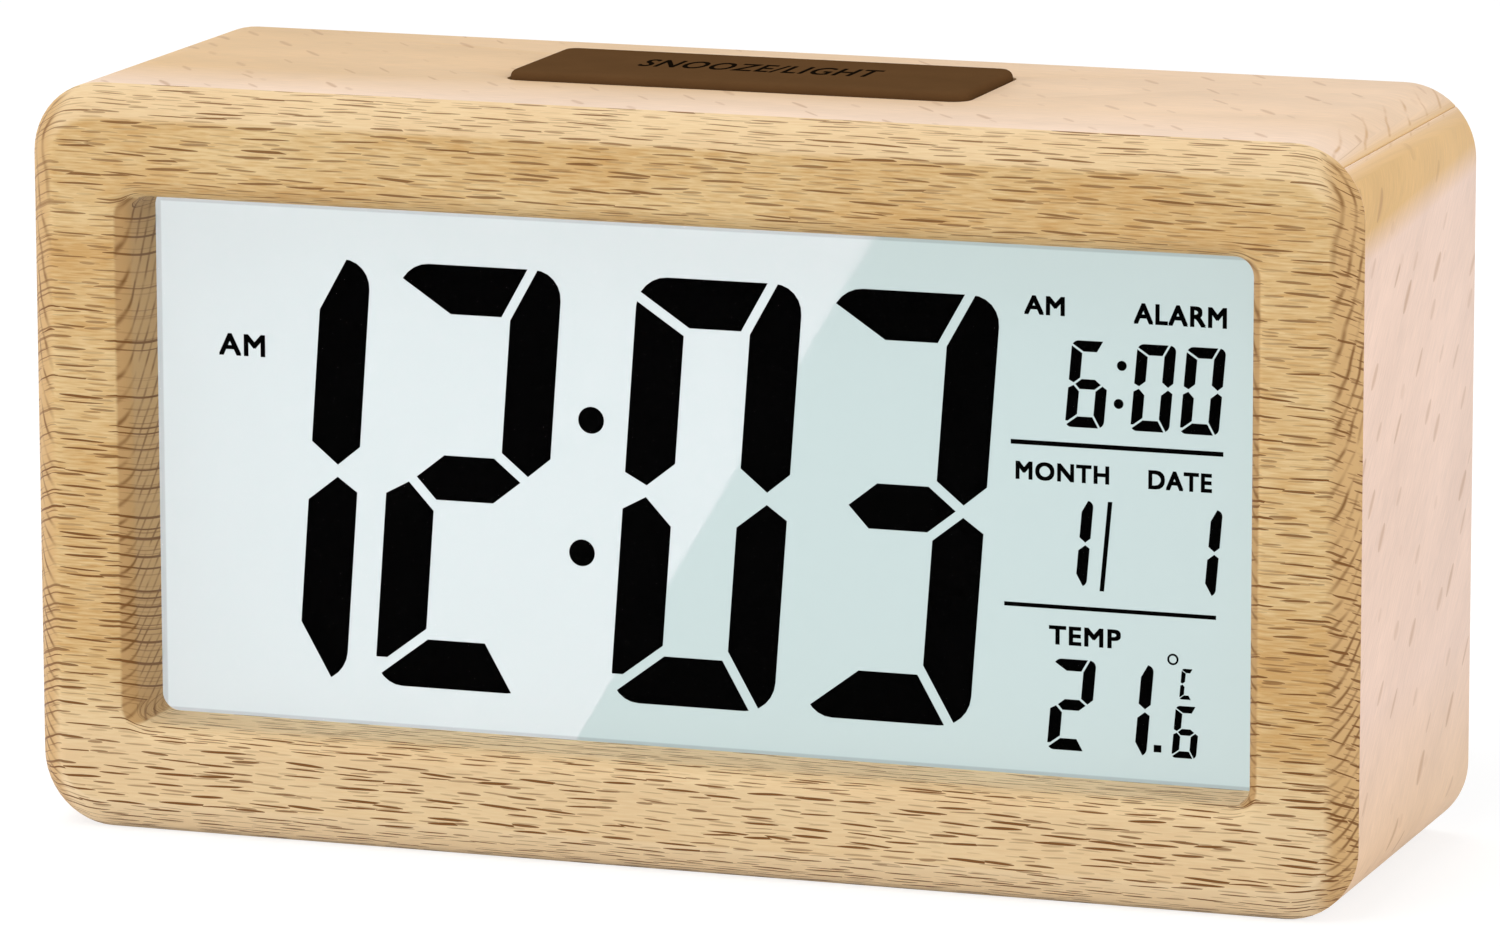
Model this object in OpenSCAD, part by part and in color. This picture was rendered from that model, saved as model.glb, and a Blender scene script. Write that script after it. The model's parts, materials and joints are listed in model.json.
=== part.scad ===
// Wooden digital alarm clock with a liquid crystal display.
// A bevelled front frame and four mitred boards make the case. Behind the window, one stack holds
// the display and the main board, and the rear cover carries the cells, the keys and the buzzer.
// The origin is the middle of the underside. The front faces -Y, +Z is up, sizes are millimetres.

/* [Case] */
// Width of the wooden case
case_w = 135; // [118:1:170]
// Height of the wooden case
case_h = 74.4; // [67:0.2:95]
// Depth of the wooden case
case_d = 43; // [39:0.5:60]
// Corner radius of the case, seen from the front
corner_r = 7.2; // [5:0.2:9]
// Thickness of the four boards
board_t = 5; // [4.6:0.1:5.4]
// Thickness of the front frame where it covers the boards
lip_t = 2.8; // [2.2:0.1:3.6]
// Width of the bevel round the front
bevel_w = 3.2; // [2.4:0.1:4]
// Radius of the bevel's crowned face
bevel_r = 5; // [4.5:0.5:20]
// Side of the square glue blocks in the case corners
block_s = 8; // [7:0.5:8.5]
// Distance from the main board to the glue blocks
block_gap = 3.3; // [2:0.1:6]

/* [Window] */
// Width of the frame's two stiles, beside the window
stile_w = 10.5; // [10.2:0.1:16]
// Height of the frame's two rails, above and below the window
rail_h = 10.9; // [10:0.1:16]
// Corner radius of the window
window_r = 1.8; // [1:0.1:4]
// Radius of the round-over on the window's front edge
window_round = 2.2; // [1:0.1:3]
// How far the lens lies behind the front
recess_d = 8; // [6.5:0.5:9]

/* [Display] */
// Thickness of the clear lens
lens_t = 1; // [0.8:0.1:1.5]
// How far the display reaches behind the frame at its sides and top
stack_lap = 1.5; // [1:0.1:1.6]
// How far the display reaches behind the frame at its foot
contact_lap = 3.2; // [3:0.1:3.6]
// Thickness of each display glass
glass_t = 1.1; // [0.7:0.1:1.3]
// Thickness of each polarising film
film_t = 0.2; // [0.1:0.05:0.3]
// Height of the contact ledge that the rear glass leaves free
contact_ledge = 2.6; // [2.3:0.1:2.8]
// Thickness of the contact strip
strip_t = 1.8; // [1:0.1:2]
// How far the contact strip ends short of the display's sides
strip_short = 8.5; // [4:0.5:20]
// Thickness of the light guide
guide_t = 2.5; // [2:0.1:3]
// Thickness of the white reflector sheet
reflector_t = 0.2; // [0.1:0.05:0.4]
// Thickness of each backlight lamp beside the light guide
lamp_t = 1; // [0.6:0.1:1.2]
// Length of each backlight lamp
lamp_len = 4; // [2:0.5:6]
// How far each lamp stands off the main board
lamp_d = 2; // [1:0.1:2.4]
// How far the display's screws lie inside the window's height
display_screw_in = 4.3; // [3:0.1:10]

/* [Main board] */
// Thickness of the main and key boards
pcb_t = 1.6; // [1:0.1:2]
// Diameter of the epoxy drop over the chip
chip_d = 14; // [10:0.5:18]
// Height of the epoxy drop
chip_h = 2.2; // [1.5:0.1:3]
// Diameter of the clock crystal's can
crystal_d = 2; // [1.5:0.1:3]
// Length of the clock crystal's can
crystal_len = 6; // [5:0.5:8]
// Length of a small chip part
part_len = 2; // [1:0.1:3]
// Width of a small chip part
part_w = 1.2; // [0.6:0.1:1.6]
// Height of a small chip part
part_h = 0.7; // [0.4:0.1:1]
// Number of small chip parts in the row
part_count = 6; // [2:1:8]

/* [Snooze bar] */
// Length of the bar
bar_w = 47; // [42:1:48]
// Depth of the bar from front to back
bar_d = 17; // [15:0.5:18]
// Corner radius of the bar
bar_r = 1.6; // [0.8:0.1:3]
// How far the bar stands above the top
bar_proud = 0.9; // [0.6:0.1:2]
// How far the bar goes down
bar_travel = 0.8; // [0.3:0.1:0.8]
// Thickness of the bar's roof
bar_roof = 1.8; // [1.2:0.1:2.5]
// Thickness of the bar's side walls
bar_wall = 1.6; // [1.2:0.1:2]
// How far the bar stands behind the main board
bar_behind = 0.8; // [0.5:0.1:3]
// Reach of the lugs that keep the bar in its slot
lug_reach = 1.8; // [1:0.1:2]
// Thickness of the lugs
lug_t = 1.2; // [0.8:0.1:1.5]
// Length of the bracket under the top
bracket_w = 68; // [66:1:76]
// Depth of the bracket from front to back
bracket_d = 13; // [11:0.5:14]
// Thickness of the bracket's floor
bracket_t = 1.6; // [1.2:0.1:2]
// Height of the bracket's columns
bracket_drop = 7.4; // [7.2:0.1:8]
// Diameter of the bracket's columns
column_d = 7; // [5:0.5:7]
// Distance between the two return springs
spring_span = 30; // [24:1:32]
// Outer diameter of the return springs
spring_d = 5; // [4.6:0.2:6]
// Wire diameter of the return springs
spring_wire = 0.5; // [0.3:0.05:0.7]
// Turns of each return spring
spring_turns = 6; // [4:1:8]
// Diameter of the pins inside the springs
spring_pin_d = 3; // [2:0.1:3.2]
// Length of the pins inside the springs
spring_pin_len = 3.5; // [2:0.1:4]
// Thickness of the snooze switch's board
snooze_pcb_t = 1.2; // [0.8:0.1:1.6]
// Length of the snooze switch's board
snooze_pcb_w = 18; // [12:1:20]

/* [Push switches] */
// Side of a push switch
switch_s = 6; // [5:0.5:7]
// Height of a push switch
switch_h = 3.5; // [3:0.1:3.5]
// Diameter of a switch plunger
plunger_d = 3.5; // [2.5:0.1:4]
// How far a plunger stands out of its switch
plunger_out = 1; // [0.9:0.1:1.4]
// How deep a plunger sits in its switch
plunger_in = 1.2; // [0.8:0.1:1.5]

/* [Rear cover] */
// Thickness of the rear cover
cover_t = 2; // [1.6:0.1:2.5]
// How far the cover lies in from the back edge
cover_inset = 1.5; // [1.2:0.1:3]
// Diameter of the buzzer's brass disc
buzzer_d = 20; // [16:1:22]
// Thickness of the brass disc
buzzer_t = 0.3; // [0.2:0.05:0.5]
// Diameter of the ceramic on the disc
ceramic_d = 14; // [10:0.5:16]
// Wall of the buzzer's seat
buzzer_wall = 1.4; // [1:0.1:1.6]
// Ledge under the buzzer's edge
buzzer_ledge = 1.6; // [1:0.1:3]
// Height of the air space behind the buzzer
buzzer_air = 2.2; // [1.5:0.1:3]
// Diameter of a sound hole
sound_d = 1.6; // [1:0.1:1.8]
// Distance between the rings of sound holes
sound_step = 3; // [2.6:0.1:3.2]
// Number of rings of sound holes round the middle one
sound_rings = 2; // [1:1:2]
// Width of a vent slot by the temperature sensor
vent_w = 8; // [4:0.5:8]
// Height of a vent slot
vent_h = 0.8; // [0.6:0.1:1]
// Number of vent slots
vent_count = 3; // [2:1:3]
// Diameter of the temperature sensor's bead
sensor_d = 2.2; // [1.5:0.1:2.4]

/* [Battery bay] */
// Diameter of a cell
cell_d = 10.5; // [10:0.1:10.6]
// Length of a cell with its nub
cell_len = 44.5; // [43:0.1:45]
// Diameter of a cell's nub
nub_d = 3.8; // [3:0.1:4.5]
// Length of a cell's nub
nub_len = 1; // [0.6:0.1:1.4]
// Number of cells
cells = 3; // [2:1:3]
// Free space round each cell
cell_gap = 0.5; // [0.3:0.1:0.7]
// Wall of the battery bay
bay_wall = 2; // [1.6:0.1:2.2]
// Height of the bay above the bottom board
bay_lift = 4.5; // [4:0.1:8]
// Thickness of a contact plate
contact_t = 0.4; // [0.3:0.05:0.6]
// Length of a pressed contact spring
contact_spring_len = 4.6; // [4:0.1:5]
// Wire diameter of the contact springs
contact_wire = 0.6; // [0.4:0.05:0.7]
// Turns of each contact spring
contact_turns = 3; // [2:1:3]
// Width of a contact's solder tab
tab_w = 2.5; // [1.5:0.1:3]
// How far a solder tab stands out of the bay
tab_out = 2.5; // [1.5:0.1:3]
// Thickness of the battery door
door_t = 1.8; // [1.5:0.1:2]
// Ledge that the battery door closes on
door_ledge = 1; // [0.6:0.1:1.2]
// Corner radius of the battery door
door_r = 1.5; // [0.8:0.1:3]
// Width of the door's two hook tabs
hook_w = 6; // [4:0.5:8]
// Distance between the hook tabs
hook_span = 28; // [20:1:32]
// How far the hook tabs reach behind the cover
hook_reach = 1; // [0.8:0.1:1.1]
// Thickness of the hook tabs
hook_t = 1; // [0.8:0.1:1.1]
// Width of the door's latch tongue
latch_w = 10; // [8:0.5:14]
// Length of the door's latch tongue
latch_len = 8; // [6:0.5:10]
// Width of the slots beside the latch tongue
slot_w = 0.6; // [0.4:0.1:1]
// Number of grip ribs on the latch tongue
rib_count = 3; // [2:1:4]
// Length of a grip rib
rib_len = 5; // [3:0.5:8]
// Width of a grip rib
rib_w = 0.6; // [0.4:0.1:0.8]
// How far a grip rib stands out
rib_out = 0.4; // [0.2:0.1:0.6]

/* [Keys] */
// Width of the key board
key_w = 25; // [24:0.5:26]
// Height of the key board
key_h = 40; // [39:0.5:42]
// Distance between the keys
key_pitch = 12; // [10:0.5:12]
// How far the upper keys lie above the middle
key_rise = 11.4; // [10:0.1:12]
// Distance from the lower keys down to the alarm switch
grip_drop = 11; // [10:0.5:11.5]
// Diameter of a key's cap
button_d = 6; // [5:0.1:6.4]
// How far a key stands out of the cover
button_proud = 1; // [0.6:0.1:1.1]
// How far a key goes in
button_travel = 0.5; // [0.3:0.1:0.6]
// Width of the flange behind each moving piece
flange_w = 0.8; // [0.6:0.1:1]
// Thickness of the flange behind each moving piece
flange_t = 1; // [0.8:0.1:1.2]
// Length of the alarm switch's grip
grip_w = 4; // [3:0.1:4.5]
// Height of the alarm switch's grip
grip_h = 3; // [2.5:0.1:4]
// How far the alarm switch slides
grip_travel = 4; // [3:0.1:4.5]
// Side of the square stem behind the grip
stem_s = 1.5; // [1:0.1:2]

/* [Screws and leads] */
// Diameter of a screw's shank
screw_d = 2; // [1.8:0.1:2.2]
// Diameter of a pan head
head_d = 3.8; // [3.4:0.1:4.4]
// Height of a pan head
head_h = 1.3; // [1:0.1:1.6]
// Height of a countersunk head
sink_h = 1.2; // [0.8:0.1:1.4]
// Length of a screw's cross recess
cross_len = 2.5; // [1.6:0.1:2.6]
// Width of a screw's cross recess
cross_w = 0.6; // [0.4:0.1:0.8]
// How far a screw bites into what it holds
screw_bite = 4; // [3:0.1:4.4]
// Diameter of the bosses on the cover
boss_d = 5; // [4:0.1:5]
// Diameter of an insulated lead
lead_d = 1; // [0.8:0.1:1.2]
// Width of the ribbon between the boards
ribbon_w = 6; // [4:0.5:8]

/* [Clearances] */
// Gap round the inner pieces in the case
fit_gap = 0.3; // [0.2:0.05:0.4]
// Gap round the display stack in its frame
pocket_gap = 0.2; // [0.1:0.05:0.3]
// Gap between the layers of the display stack
layer_gap = 0.1; // [0.05:0.05:0.2]
// Gap round a piece that moves
slide_gap = 0.3; // [0.2:0.05:0.35]
// Play of a cell between its contacts
bay_play = 0.2; // [0.1:0.05:0.3]
// Gap round a plunger in its switch
plunger_gap = 0.08; // [0.05:0.01:0.1]
// Gap round a screw in its pilot hole
pilot_gap = 0.05; // [0.02:0.01:0.1]
// Gap round a screw in a clearance hole
hole_gap = 0.2; // [0.1:0.05:0.25]

/* [Hidden] */
$fn = 48;
// A cutter runs this far past the face it cuts
past = 1;
// The round-over is sunk by this much, so that it leaves the front at a small angle
arris_sink = 0.05;
// Rings to one turn of a coil, and sides of its wire
coil_rings = 8;
wire_sides = 6;
// Each ring of sound holes has this many more holes than the one inside it
ring_add = 6;

// Cavity inside the boards
cav_x = case_w / 2 - board_t;
cav_z0 = board_t;
cav_z1 = case_h - board_t;

// Display stack, as depths behind the front
window_w = case_w - 2 * stile_w;
window_h = case_h - 2 * rail_h;
window_z = case_h / 2;
film_d0 = recess_d + lens_t + layer_gap;
glass_d0 = film_d0 + film_t;
glass_d1 = glass_d0 + glass_t;
back_glass_d1 = glass_d1 + glass_t;
guide_d0 = back_glass_d1 + film_t + layer_gap;
reflector_d0 = guide_d0 + guide_t;
pcb_d0 = reflector_d0 + reflector_t + layer_gap;
pcb_d1 = pcb_d0 + pcb_t;
stack_x = window_w / 2 + stack_lap;
stack_z0 = window_z - window_h / 2 - contact_lap;
stack_z1 = window_z + window_h / 2 + stack_lap;
guide_x = stack_x - lamp_t - 2 * layer_gap;
guide_z0 = stack_z0 + contact_ledge;
display_screw_x = (cav_x - fit_gap + stack_x + pocket_gap) / 2;
display_screws_at = [for (x = [-1, 1], z = [-1, 1])
    [x * display_screw_x, window_z + z * (window_h / 2 - display_screw_in)]];

// Snooze bar and what is under it
bar_c = pcb_d1 + bar_behind + bar_d / 2;
bar_top = case_h + bar_proud;
bar_ceiling = bar_top - bar_roof;
lug_z1 = cav_z1 - slide_gap;
bar_z0 = lug_z1 - lug_t;
bracket_z1 = cav_z1 - bracket_drop;
bracket_z0 = bracket_z1 - bracket_t;
snooze_switch_z0 = bracket_z1 + snooze_pcb_t;
snooze_switch_z1 = snooze_switch_z0 + switch_h;
snooze_plunger_z1 = snooze_switch_z1 + plunger_out;
column_x = (bracket_w - column_d) / 2;
snooze_pcb_d = bracket_d - 2 * pocket_gap;

// Rear cover, as depths behind the front
cover_d1 = case_d - cover_inset;
cover_d0 = cover_d1 - cover_t;
cover_screws_at = [for (x = [-1, 1], z = [cav_z0 + block_s / 2, cav_z1 - block_s / 2])
    [x * (cav_x - block_s / 2), z]];

// Battery bay
pitch = cell_d + cell_gap;
bay_x = (cell_len + contact_spring_len + 2 * contact_t + bay_play) / 2;
bay_z0 = cav_z0 + bay_lift;
bay_z1 = bay_z0 + cells * pitch;
door_d0 = cover_d1 - door_t;
ledge_d = door_d0 - layer_gap;
cell_axis_d = ledge_d - cell_gap - cell_d / 2;
floor_d1 = cell_axis_d - cell_d / 2 - layer_gap;
floor_d0 = floor_d1 - bay_wall;
door_x = bay_x + door_ledge - slide_gap;
door_z0 = bay_z0 - door_ledge + slide_gap;
door_z1 = bay_z1 + door_ledge - slide_gap;
// The door turns about the middle of its rounded lower edge, as a depth and a height
door_axis = [door_d0 + door_t / 2, door_z0 + door_t / 2];
hook_d1 = cover_d0 - slide_gap;
hook_d0 = hook_d1 - hook_t;
contact_reach = cell_d - cell_gap;
function cell_z(i) = bay_z0 + (i + 0.5) * pitch;
// The end of each cell where its spring sits: -1 is left, 1 is right
function spring_side(i) = i % 2 == 0 ? -1 : 1;

// Keys
bay_out = bay_x + bay_wall;
key_x = -(bay_out + cav_x) / 2;
key_z = window_z;
flange_d1 = cover_d0 - slide_gap;
flange_d0 = flange_d1 - flange_t;
key_d1 = flange_d0 - plunger_out - switch_h;
key_d0 = key_d1 - pcb_t;
switch_d1 = key_d1 + switch_h;
key_rows = [key_z + key_rise, key_z + key_rise - key_pitch];
set_at = [key_x - key_pitch / 2, key_rows[0]];
alarm_at = [key_x + key_pitch / 2, key_rows[0]];
up_at = [key_x - key_pitch / 2, key_rows[1]];
down_at = [key_x + key_pitch / 2, key_rows[1]];
keys_at = [set_at, alarm_at, up_at, down_at];
grip_at = [key_x, key_rows[1] - grip_drop];
key_edge = boss_d / 2;
sensor_at = [key_x, key_z - key_h / 2 + key_edge + sensor_d / 2];
key_screws_at = [for (x = [-1, 1], z = [-1, 1])
    [key_x + x * (key_w / 2 - key_edge), key_z + z * (key_h / 2 - key_edge)]];

// Buzzer
buzzer_seat_r = buzzer_d / 2 + pocket_gap;
buzzer_ring_r = buzzer_seat_r + buzzer_wall;
buzzer_at = [(bay_out + cav_x) / 2, window_z];
buzzer_d1 = cover_d0 - buzzer_air;
buzzer_d0 = buzzer_d1 - buzzer_t;

// Y of a depth behind the front
function at(depth) = depth - case_d / 2;

// Shape in X and Z, made solid between two depths
module slab(d0, d1) {
    translate([0, at(d1), 0]) rotate([90, 0, 0]) linear_extrude(d1 - d0) children();
}

// Shape in X and depth, made solid between two heights
module layer(z0, z1) {
    translate([0, at(0), z0]) linear_extrude(z1 - z0) children();
}

// Round rod or bore along the depth, at a spot in X and Z
module rod(spot, d0, d1, d) {
    translate([spot.x, at(d0), spot.y]) rotate([-90, 0, 0]) cylinder(d = d, h = d1 - d0);
}

// Round post or bore along the height, at a spot in X and depth
module post(spot, z0, z1, d) {
    translate([spot.x, at(spot.y), z0]) cylinder(d = d, h = z1 - z0);
}

// Rectangle between two corners
module box2(low, high) {
    translate(low) square(high - low);
}

// Rectangle with round corners between two corners
module round2(low, high, r) {
    for (x = [low.x + r, high.x - r], y = [low.y + r, high.y - r]) translate([x, y]) circle(r);
    box2([low.x + r, low.y], [high.x - r, high.y]);
    box2([low.x, low.y + r], [high.x, high.y - r]);
}

// Inside of the case in X and Z, drawn in by a gap
module cavity2(gap) {
    box2([-cav_x + gap, cav_z0 + gap], [cav_x - gap, cav_z1 - gap]);
}

// Outline of the display stack in X and Z
module stack2(x, z0) {
    box2([-x, z0], [x, stack_z1]);
}

// A unit vector, and the direction and the normals along a list of points
function unit(v) = v / norm(v);
function heading(p, i) = unit(p[min(i + 1, len(p) - 1)] - p[max(i - 1, 0)]);
function square_to(n, t) = unit(n - (n * t) * t);
function normals(p, n, i = 0) = i == len(p) ? [] :
    let (m = square_to(n, heading(p, i))) concat([m], normals(p, m, i + 1));

// Round tube swept along a list of points
module tube(p, d, sides) {
    start = heading(p, 0);
    side_way = abs(start.x) > abs(start.y) ? [0, 1, 0] : [1, 0, 0];
    n = normals(p, side_way);
    last = (len(p) - 1) * sides;
    points = [for (i = [0 : len(p) - 1], k = [0 : sides - 1])
        let (a = 360 * k / sides)
        p[i] + d / 2 * (cos(a) * n[i] + sin(a) * cross(heading(p, i), n[i]))];
    walls = [for (i = [0 : len(p) - 2], k = [0 : sides - 1], half = [0, 1])
        let (a = i * sides + k, b = i * sides + (k + 1) % sides)
        half == 0 ? [a, a + sides, b] : [b, a + sides, b + sides]];
    ends = [for (k = [1 : sides - 2], end = [0, 1])
        end == 0 ? [0, k, k + 1] : [last, last + k + 1, last + k]];
    polyhedron(points, concat(walls, ends));
}

// Points of a coil along +Z, with its radius at the foot and at the top
function coil(r0, r1, height, turns) = [for (i = [0 : turns * coil_rings])
    let (s = i / (turns * coil_rings), r = r0 + (r1 - r0) * s, a = 360 * i / coil_rings)
    [r * cos(a), r * sin(a), height * s]];

// Screw along -Z with its head on the plane z = 0
module pan_screw(length) {
    difference() {
        union() {
            cylinder(d = head_d, h = head_h);
            translate([0, 0, -length]) cylinder(d = screw_d, h = length + head_h / 2);
        }
        cross_recess(head_h);
    }
}

// Screw along -Z with its countersunk head flush with the plane z = 0
module flush_screw(length) {
    difference() {
        union() {
            translate([0, 0, -sink_h]) cylinder(d1 = screw_d, d2 = head_d, h = sink_h);
            translate([0, 0, -length]) cylinder(d = screw_d, h = length - sink_h / 2);
        }
        cross_recess(0);
    }
}

// Cross recess cut down into a head whose top is at a height
module cross_recess(top) {
    deep = head_h / 2;
    for (a = [0, 90]) rotate([0, 0, a])
        translate([-cross_len / 2, -cross_w / 2, top - deep]) cube([cross_len, cross_w, deep + past]);
}

// Places a screw with its head at a depth, pointing to the front
module towards_front(spot, d) {
    translate([spot.x, at(d), spot.y]) rotate([-90, 0, 0]) children();
}

// Places a screw with its head at a depth, pointing to the back
module towards_back(spot, d) {
    translate([spot.x, at(d), spot.y]) rotate([90, 0, 0]) children();
}

// Half of the bevelled plate's section, as reach outwards and depth behind the front
module bevel2(reach) {
    chord = norm([bevel_w, lip_t]);
    lift = sqrt(bevel_r * bevel_r - chord * chord / 4);
    crown = [reach - bevel_w / 2, lip_t / 2] + lift * [-lip_t, bevel_w] / chord;
    polygon([[0, 0], [reach - bevel_w, 0], [reach, lip_t], [0, lip_t]]);
    intersection() {
        box2([reach - bevel_w, 0], [reach, lip_t]);
        translate(crown) circle(bevel_r);
    }
}

// Half of the window's section: a straight wall with a rounded front edge
module flare2(reach) {
    box2([0, -past], [reach, recess_d + past]);
    difference() {
        box2([0, -past], [reach + window_round, window_round - arris_sink]);
        translate([reach + window_round, window_round - arris_sink]) circle(window_round);
    }
}

// Rectangular body with round corners whose edge follows a section all round:
// the first child is the section at the corner radius, the second across the width, the third the height
module edged(w, h, r) {
    for (x = [-1, 1], z = [-1, 1])
        translate([x * (w / 2 - r), at(0), window_z + z * (h / 2 - r)])
            rotate([-90, 0, 0]) rotate_extrude() children(0);
    translate([0, at(0), window_z]) {
        linear_extrude(h - 2 * r, center = true) both_ways() children(1);
        rotate([0, -90, 0]) linear_extrude(w - 2 * r, center = true) both_ways() children(2);
    }
}

// A half section and its mirror image
module both_ways() {
    children();
    mirror([1, 0]) children();
}

module front_frame() {
    color("#DDB881") difference() {
        union() {
            edged(case_w, case_h, corner_r) {
                bevel2(corner_r);
                bevel2(case_w / 2);
                bevel2(case_h / 2);
            }
            slab(lip_t / 2, recess_d) cavity2(0);
        }
        edged(window_w, window_h, window_r) {
            flare2(window_r);
            flare2(window_w / 2);
            flare2(window_h / 2);
        }
        for (spot = display_screws_at)
            rod(spot, recess_d - screw_bite, recess_d + past, screw_d + 2 * pilot_gap);
    }
}

// One of the case boards: the rounded case outline cut to a mitred quarter
module board(quarter) {
    slab(lip_t, case_d) intersection() {
        round2([-case_w / 2, 0], [case_w / 2, case_h], corner_r);
        polygon(quarter);
    }
}

module top_board() {
    color("#EDD3BC") difference() {
        board([[-cav_x, cav_z1], [cav_x, cav_z1], [case_w / 2, case_h], [-case_w / 2, case_h]]);
        layer(cav_z1 - past, case_h + past) bar2(slide_gap);
        for (x = [-1, 1])
            post([x * column_x, bar_c], cav_z1 - past, cav_z1 + screw_bite, screw_d + 2 * pilot_gap);
    }
}

module bottom_board() {
    color("#E4C7A8") board([[-case_w / 2, 0], [case_w / 2, 0], [cav_x, cav_z0], [-cav_x, cav_z0]]);
}

module left_board() {
    color("#E6CBB6")
        board([[-case_w / 2, 0], [-cav_x, cav_z0], [-cav_x, cav_z1], [-case_w / 2, case_h]]);
}

module right_board() {
    color("#E6CBB6")
        board([[case_w / 2, 0], [case_w / 2, case_h], [cav_x, cav_z1], [cav_x, cav_z0]]);
}

module corner_blocks() {
    color("#D2AE7C") for (spot = cover_screws_at) difference() {
        slab(pcb_d1 + block_gap, cover_d0) translate(spot) square(block_s, center = true);
        rod(spot, cover_d0 - screw_bite - head_h, cover_d0 + past, screw_d + 2 * pilot_gap);
    }
}

module display_lens() {
    color("#F4F8F8", 0.3) slab(recess_d, recess_d + lens_t) stack2(stack_x, stack_z0);
}

module front_polariser() {
    color("#D5E0E1") slab(film_d0, glass_d0) stack2(stack_x, guide_z0);
}

module front_glass() {
    color("#C8DCDC", 0.5) slab(glass_d0, glass_d1) stack2(stack_x, stack_z0);
}

module rear_glass() {
    color("#C0D6D6", 0.5) slab(glass_d1, back_glass_d1) stack2(stack_x, guide_z0);
}

module rear_polariser() {
    color("#CBD8D6") slab(back_glass_d1, back_glass_d1 + film_t) stack2(stack_x, guide_z0);
}

module light_guide() {
    color("#F0F4F4", 0.6) slab(guide_d0, reflector_d0) stack2(guide_x, guide_z0);
}

module light_reflector() {
    color("#FAFAF8") slab(reflector_d0, reflector_d0 + reflector_t) stack2(guide_x, guide_z0);
}

module backlight_lamps() {
    lamp_x = guide_x + layer_gap + lamp_t / 2;
    color("#FFF6D8") for (x = [-1, 1])
        slab(pcb_d0 - lamp_d, pcb_d0) translate([x * lamp_x, window_z])
            square([lamp_t, lamp_len], center = true);
}

module contact_strip() {
    strip_x = stack_x - strip_short;
    strip_z0 = stack_z0 + pocket_gap;
    color("#C88E9A") slab(glass_d1, pcb_d0)
        box2([-strip_x, strip_z0], [strip_x, strip_z0 + strip_t]);
}

module display_frame() {
    pocket_x = stack_x + pocket_gap;
    color("#F2F2EE") difference() {
        slab(recess_d, pcb_d0) difference() {
            cavity2(fit_gap);
            box2([-pocket_x, stack_z0 - pocket_gap], [pocket_x, stack_z1 + pocket_gap]);
        }
        for (spot = display_screws_at) rod(spot, recess_d - past, pcb_d0 + past, screw_d + 2 * hole_gap);
    }
}

module main_board() {
    color("#1F6B3A") difference() {
        slab(pcb_d0, pcb_d1) cavity2(fit_gap);
        for (spot = display_screws_at) rod(spot, pcb_d0 - past, pcb_d1 + past, screw_d + 2 * hole_gap);
    }
}

module chip_cover() {
    dome_r = (chip_d * chip_d / 4 + chip_h * chip_h) / (2 * chip_h);
    color("#1A1A1A") translate([0, at(pcb_d1), window_z]) rotate([-90, 0, 0]) rotate_extrude()
        intersection() {
            translate([0, chip_h - dome_r]) circle(dome_r);
            square([chip_d / 2, chip_h]);
        }
}

module clock_crystal() {
    color("#C9CCD0") translate([chip_d, at(pcb_d1) + crystal_d / 2, window_z])
        rotate([0, 90, 0]) cylinder(d = crystal_d, h = crystal_len);
}

module chip_parts() {
    color("#3B3A36") for (i = [0 : part_count - 1])
        slab(pcb_d1, pcb_d1 + part_h)
            translate([(i - (part_count - 1) / 2) * 2 * part_len, window_z - chip_d])
                square([part_w, part_len], center = true);
}

module display_screws() {
    color("#B9BCC0") for (spot = display_screws_at)
        towards_front(spot, pcb_d1) pan_screw(pcb_d1 - recess_d + screw_bite - pilot_gap);
}

// Outline of the snooze bar in X and depth, grown by a gap
module bar2(gap) {
    reach = [bar_w / 2 + gap, bar_d / 2 + gap];
    translate([0, bar_c]) round2(-reach, reach, bar_r + gap);
}

module snooze_bar() {
    inner_x = bar_w / 2 - bar_wall;
    inner_y = bar_d / 2 - bar_wall;
    lug_x = bar_w / 2 + lug_reach;
    color("#5B3F22") {
        difference() {
            union() {
                layer(bar_z0, bar_top) bar2(0);
                layer(bar_z0, lug_z1) box2([-lug_x, bar_c - inner_y], [lug_x, bar_c + inner_y]);
            }
            layer(bar_z0 - past, bar_ceiling)
                box2([-inner_x, bar_c - inner_y], [inner_x, bar_c + inner_y]);
        }
        post([0, bar_c], snooze_plunger_z1, bar_ceiling + bar_roof / 2, plunger_d + bar_wall);
        for (x = [-1, 1])
            post([x * spring_span / 2, bar_c], bar_ceiling - spring_pin_len, bar_ceiling + bar_roof / 2,
                spring_pin_d);
    }
}

module snooze_bracket() {
    color("#3A3A3C") difference() {
        union() {
            layer(bracket_z0, bracket_z1)
                box2([-bracket_w / 2, bar_c - bracket_d / 2], [bracket_w / 2, bar_c + bracket_d / 2]);
            for (x = [-1, 1]) {
                post([x * column_x, bar_c], bracket_z0, cav_z1, column_d);
                post([x * spring_span / 2, bar_c], bracket_z0, bracket_z1 + spring_pin_len, spring_pin_d);
            }
        }
        for (x = [-1, 1])
            post([x * column_x, bar_c], bracket_z0 - past, cav_z1 + past, screw_d + 2 * hole_gap);
    }
}

module bracket_screws() {
    length = cav_z1 - bracket_z0 + screw_bite - pilot_gap;
    color("#B9BCC0") for (x = [-1, 1])
        translate([x * column_x, at(bar_c), bracket_z0]) rotate([180, 0, 0]) pan_screw(length);
}

module snooze_springs() {
    r = (spring_d - spring_wire) / 2;
    height = bar_ceiling - bracket_z1 - spring_wire;
    color("#A8ABAF") for (x = [-1, 1])
        translate([x * spring_span / 2, at(bar_c), bracket_z1 + spring_wire / 2])
            tube(coil(r, r, height, spring_turns), spring_wire, wire_sides);
}

module snooze_switch_board() {
    color("#1F6B3A") layer(bracket_z1, snooze_switch_z0)
        translate([0, bar_c]) square([snooze_pcb_w, snooze_pcb_d], center = true);
}

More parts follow.
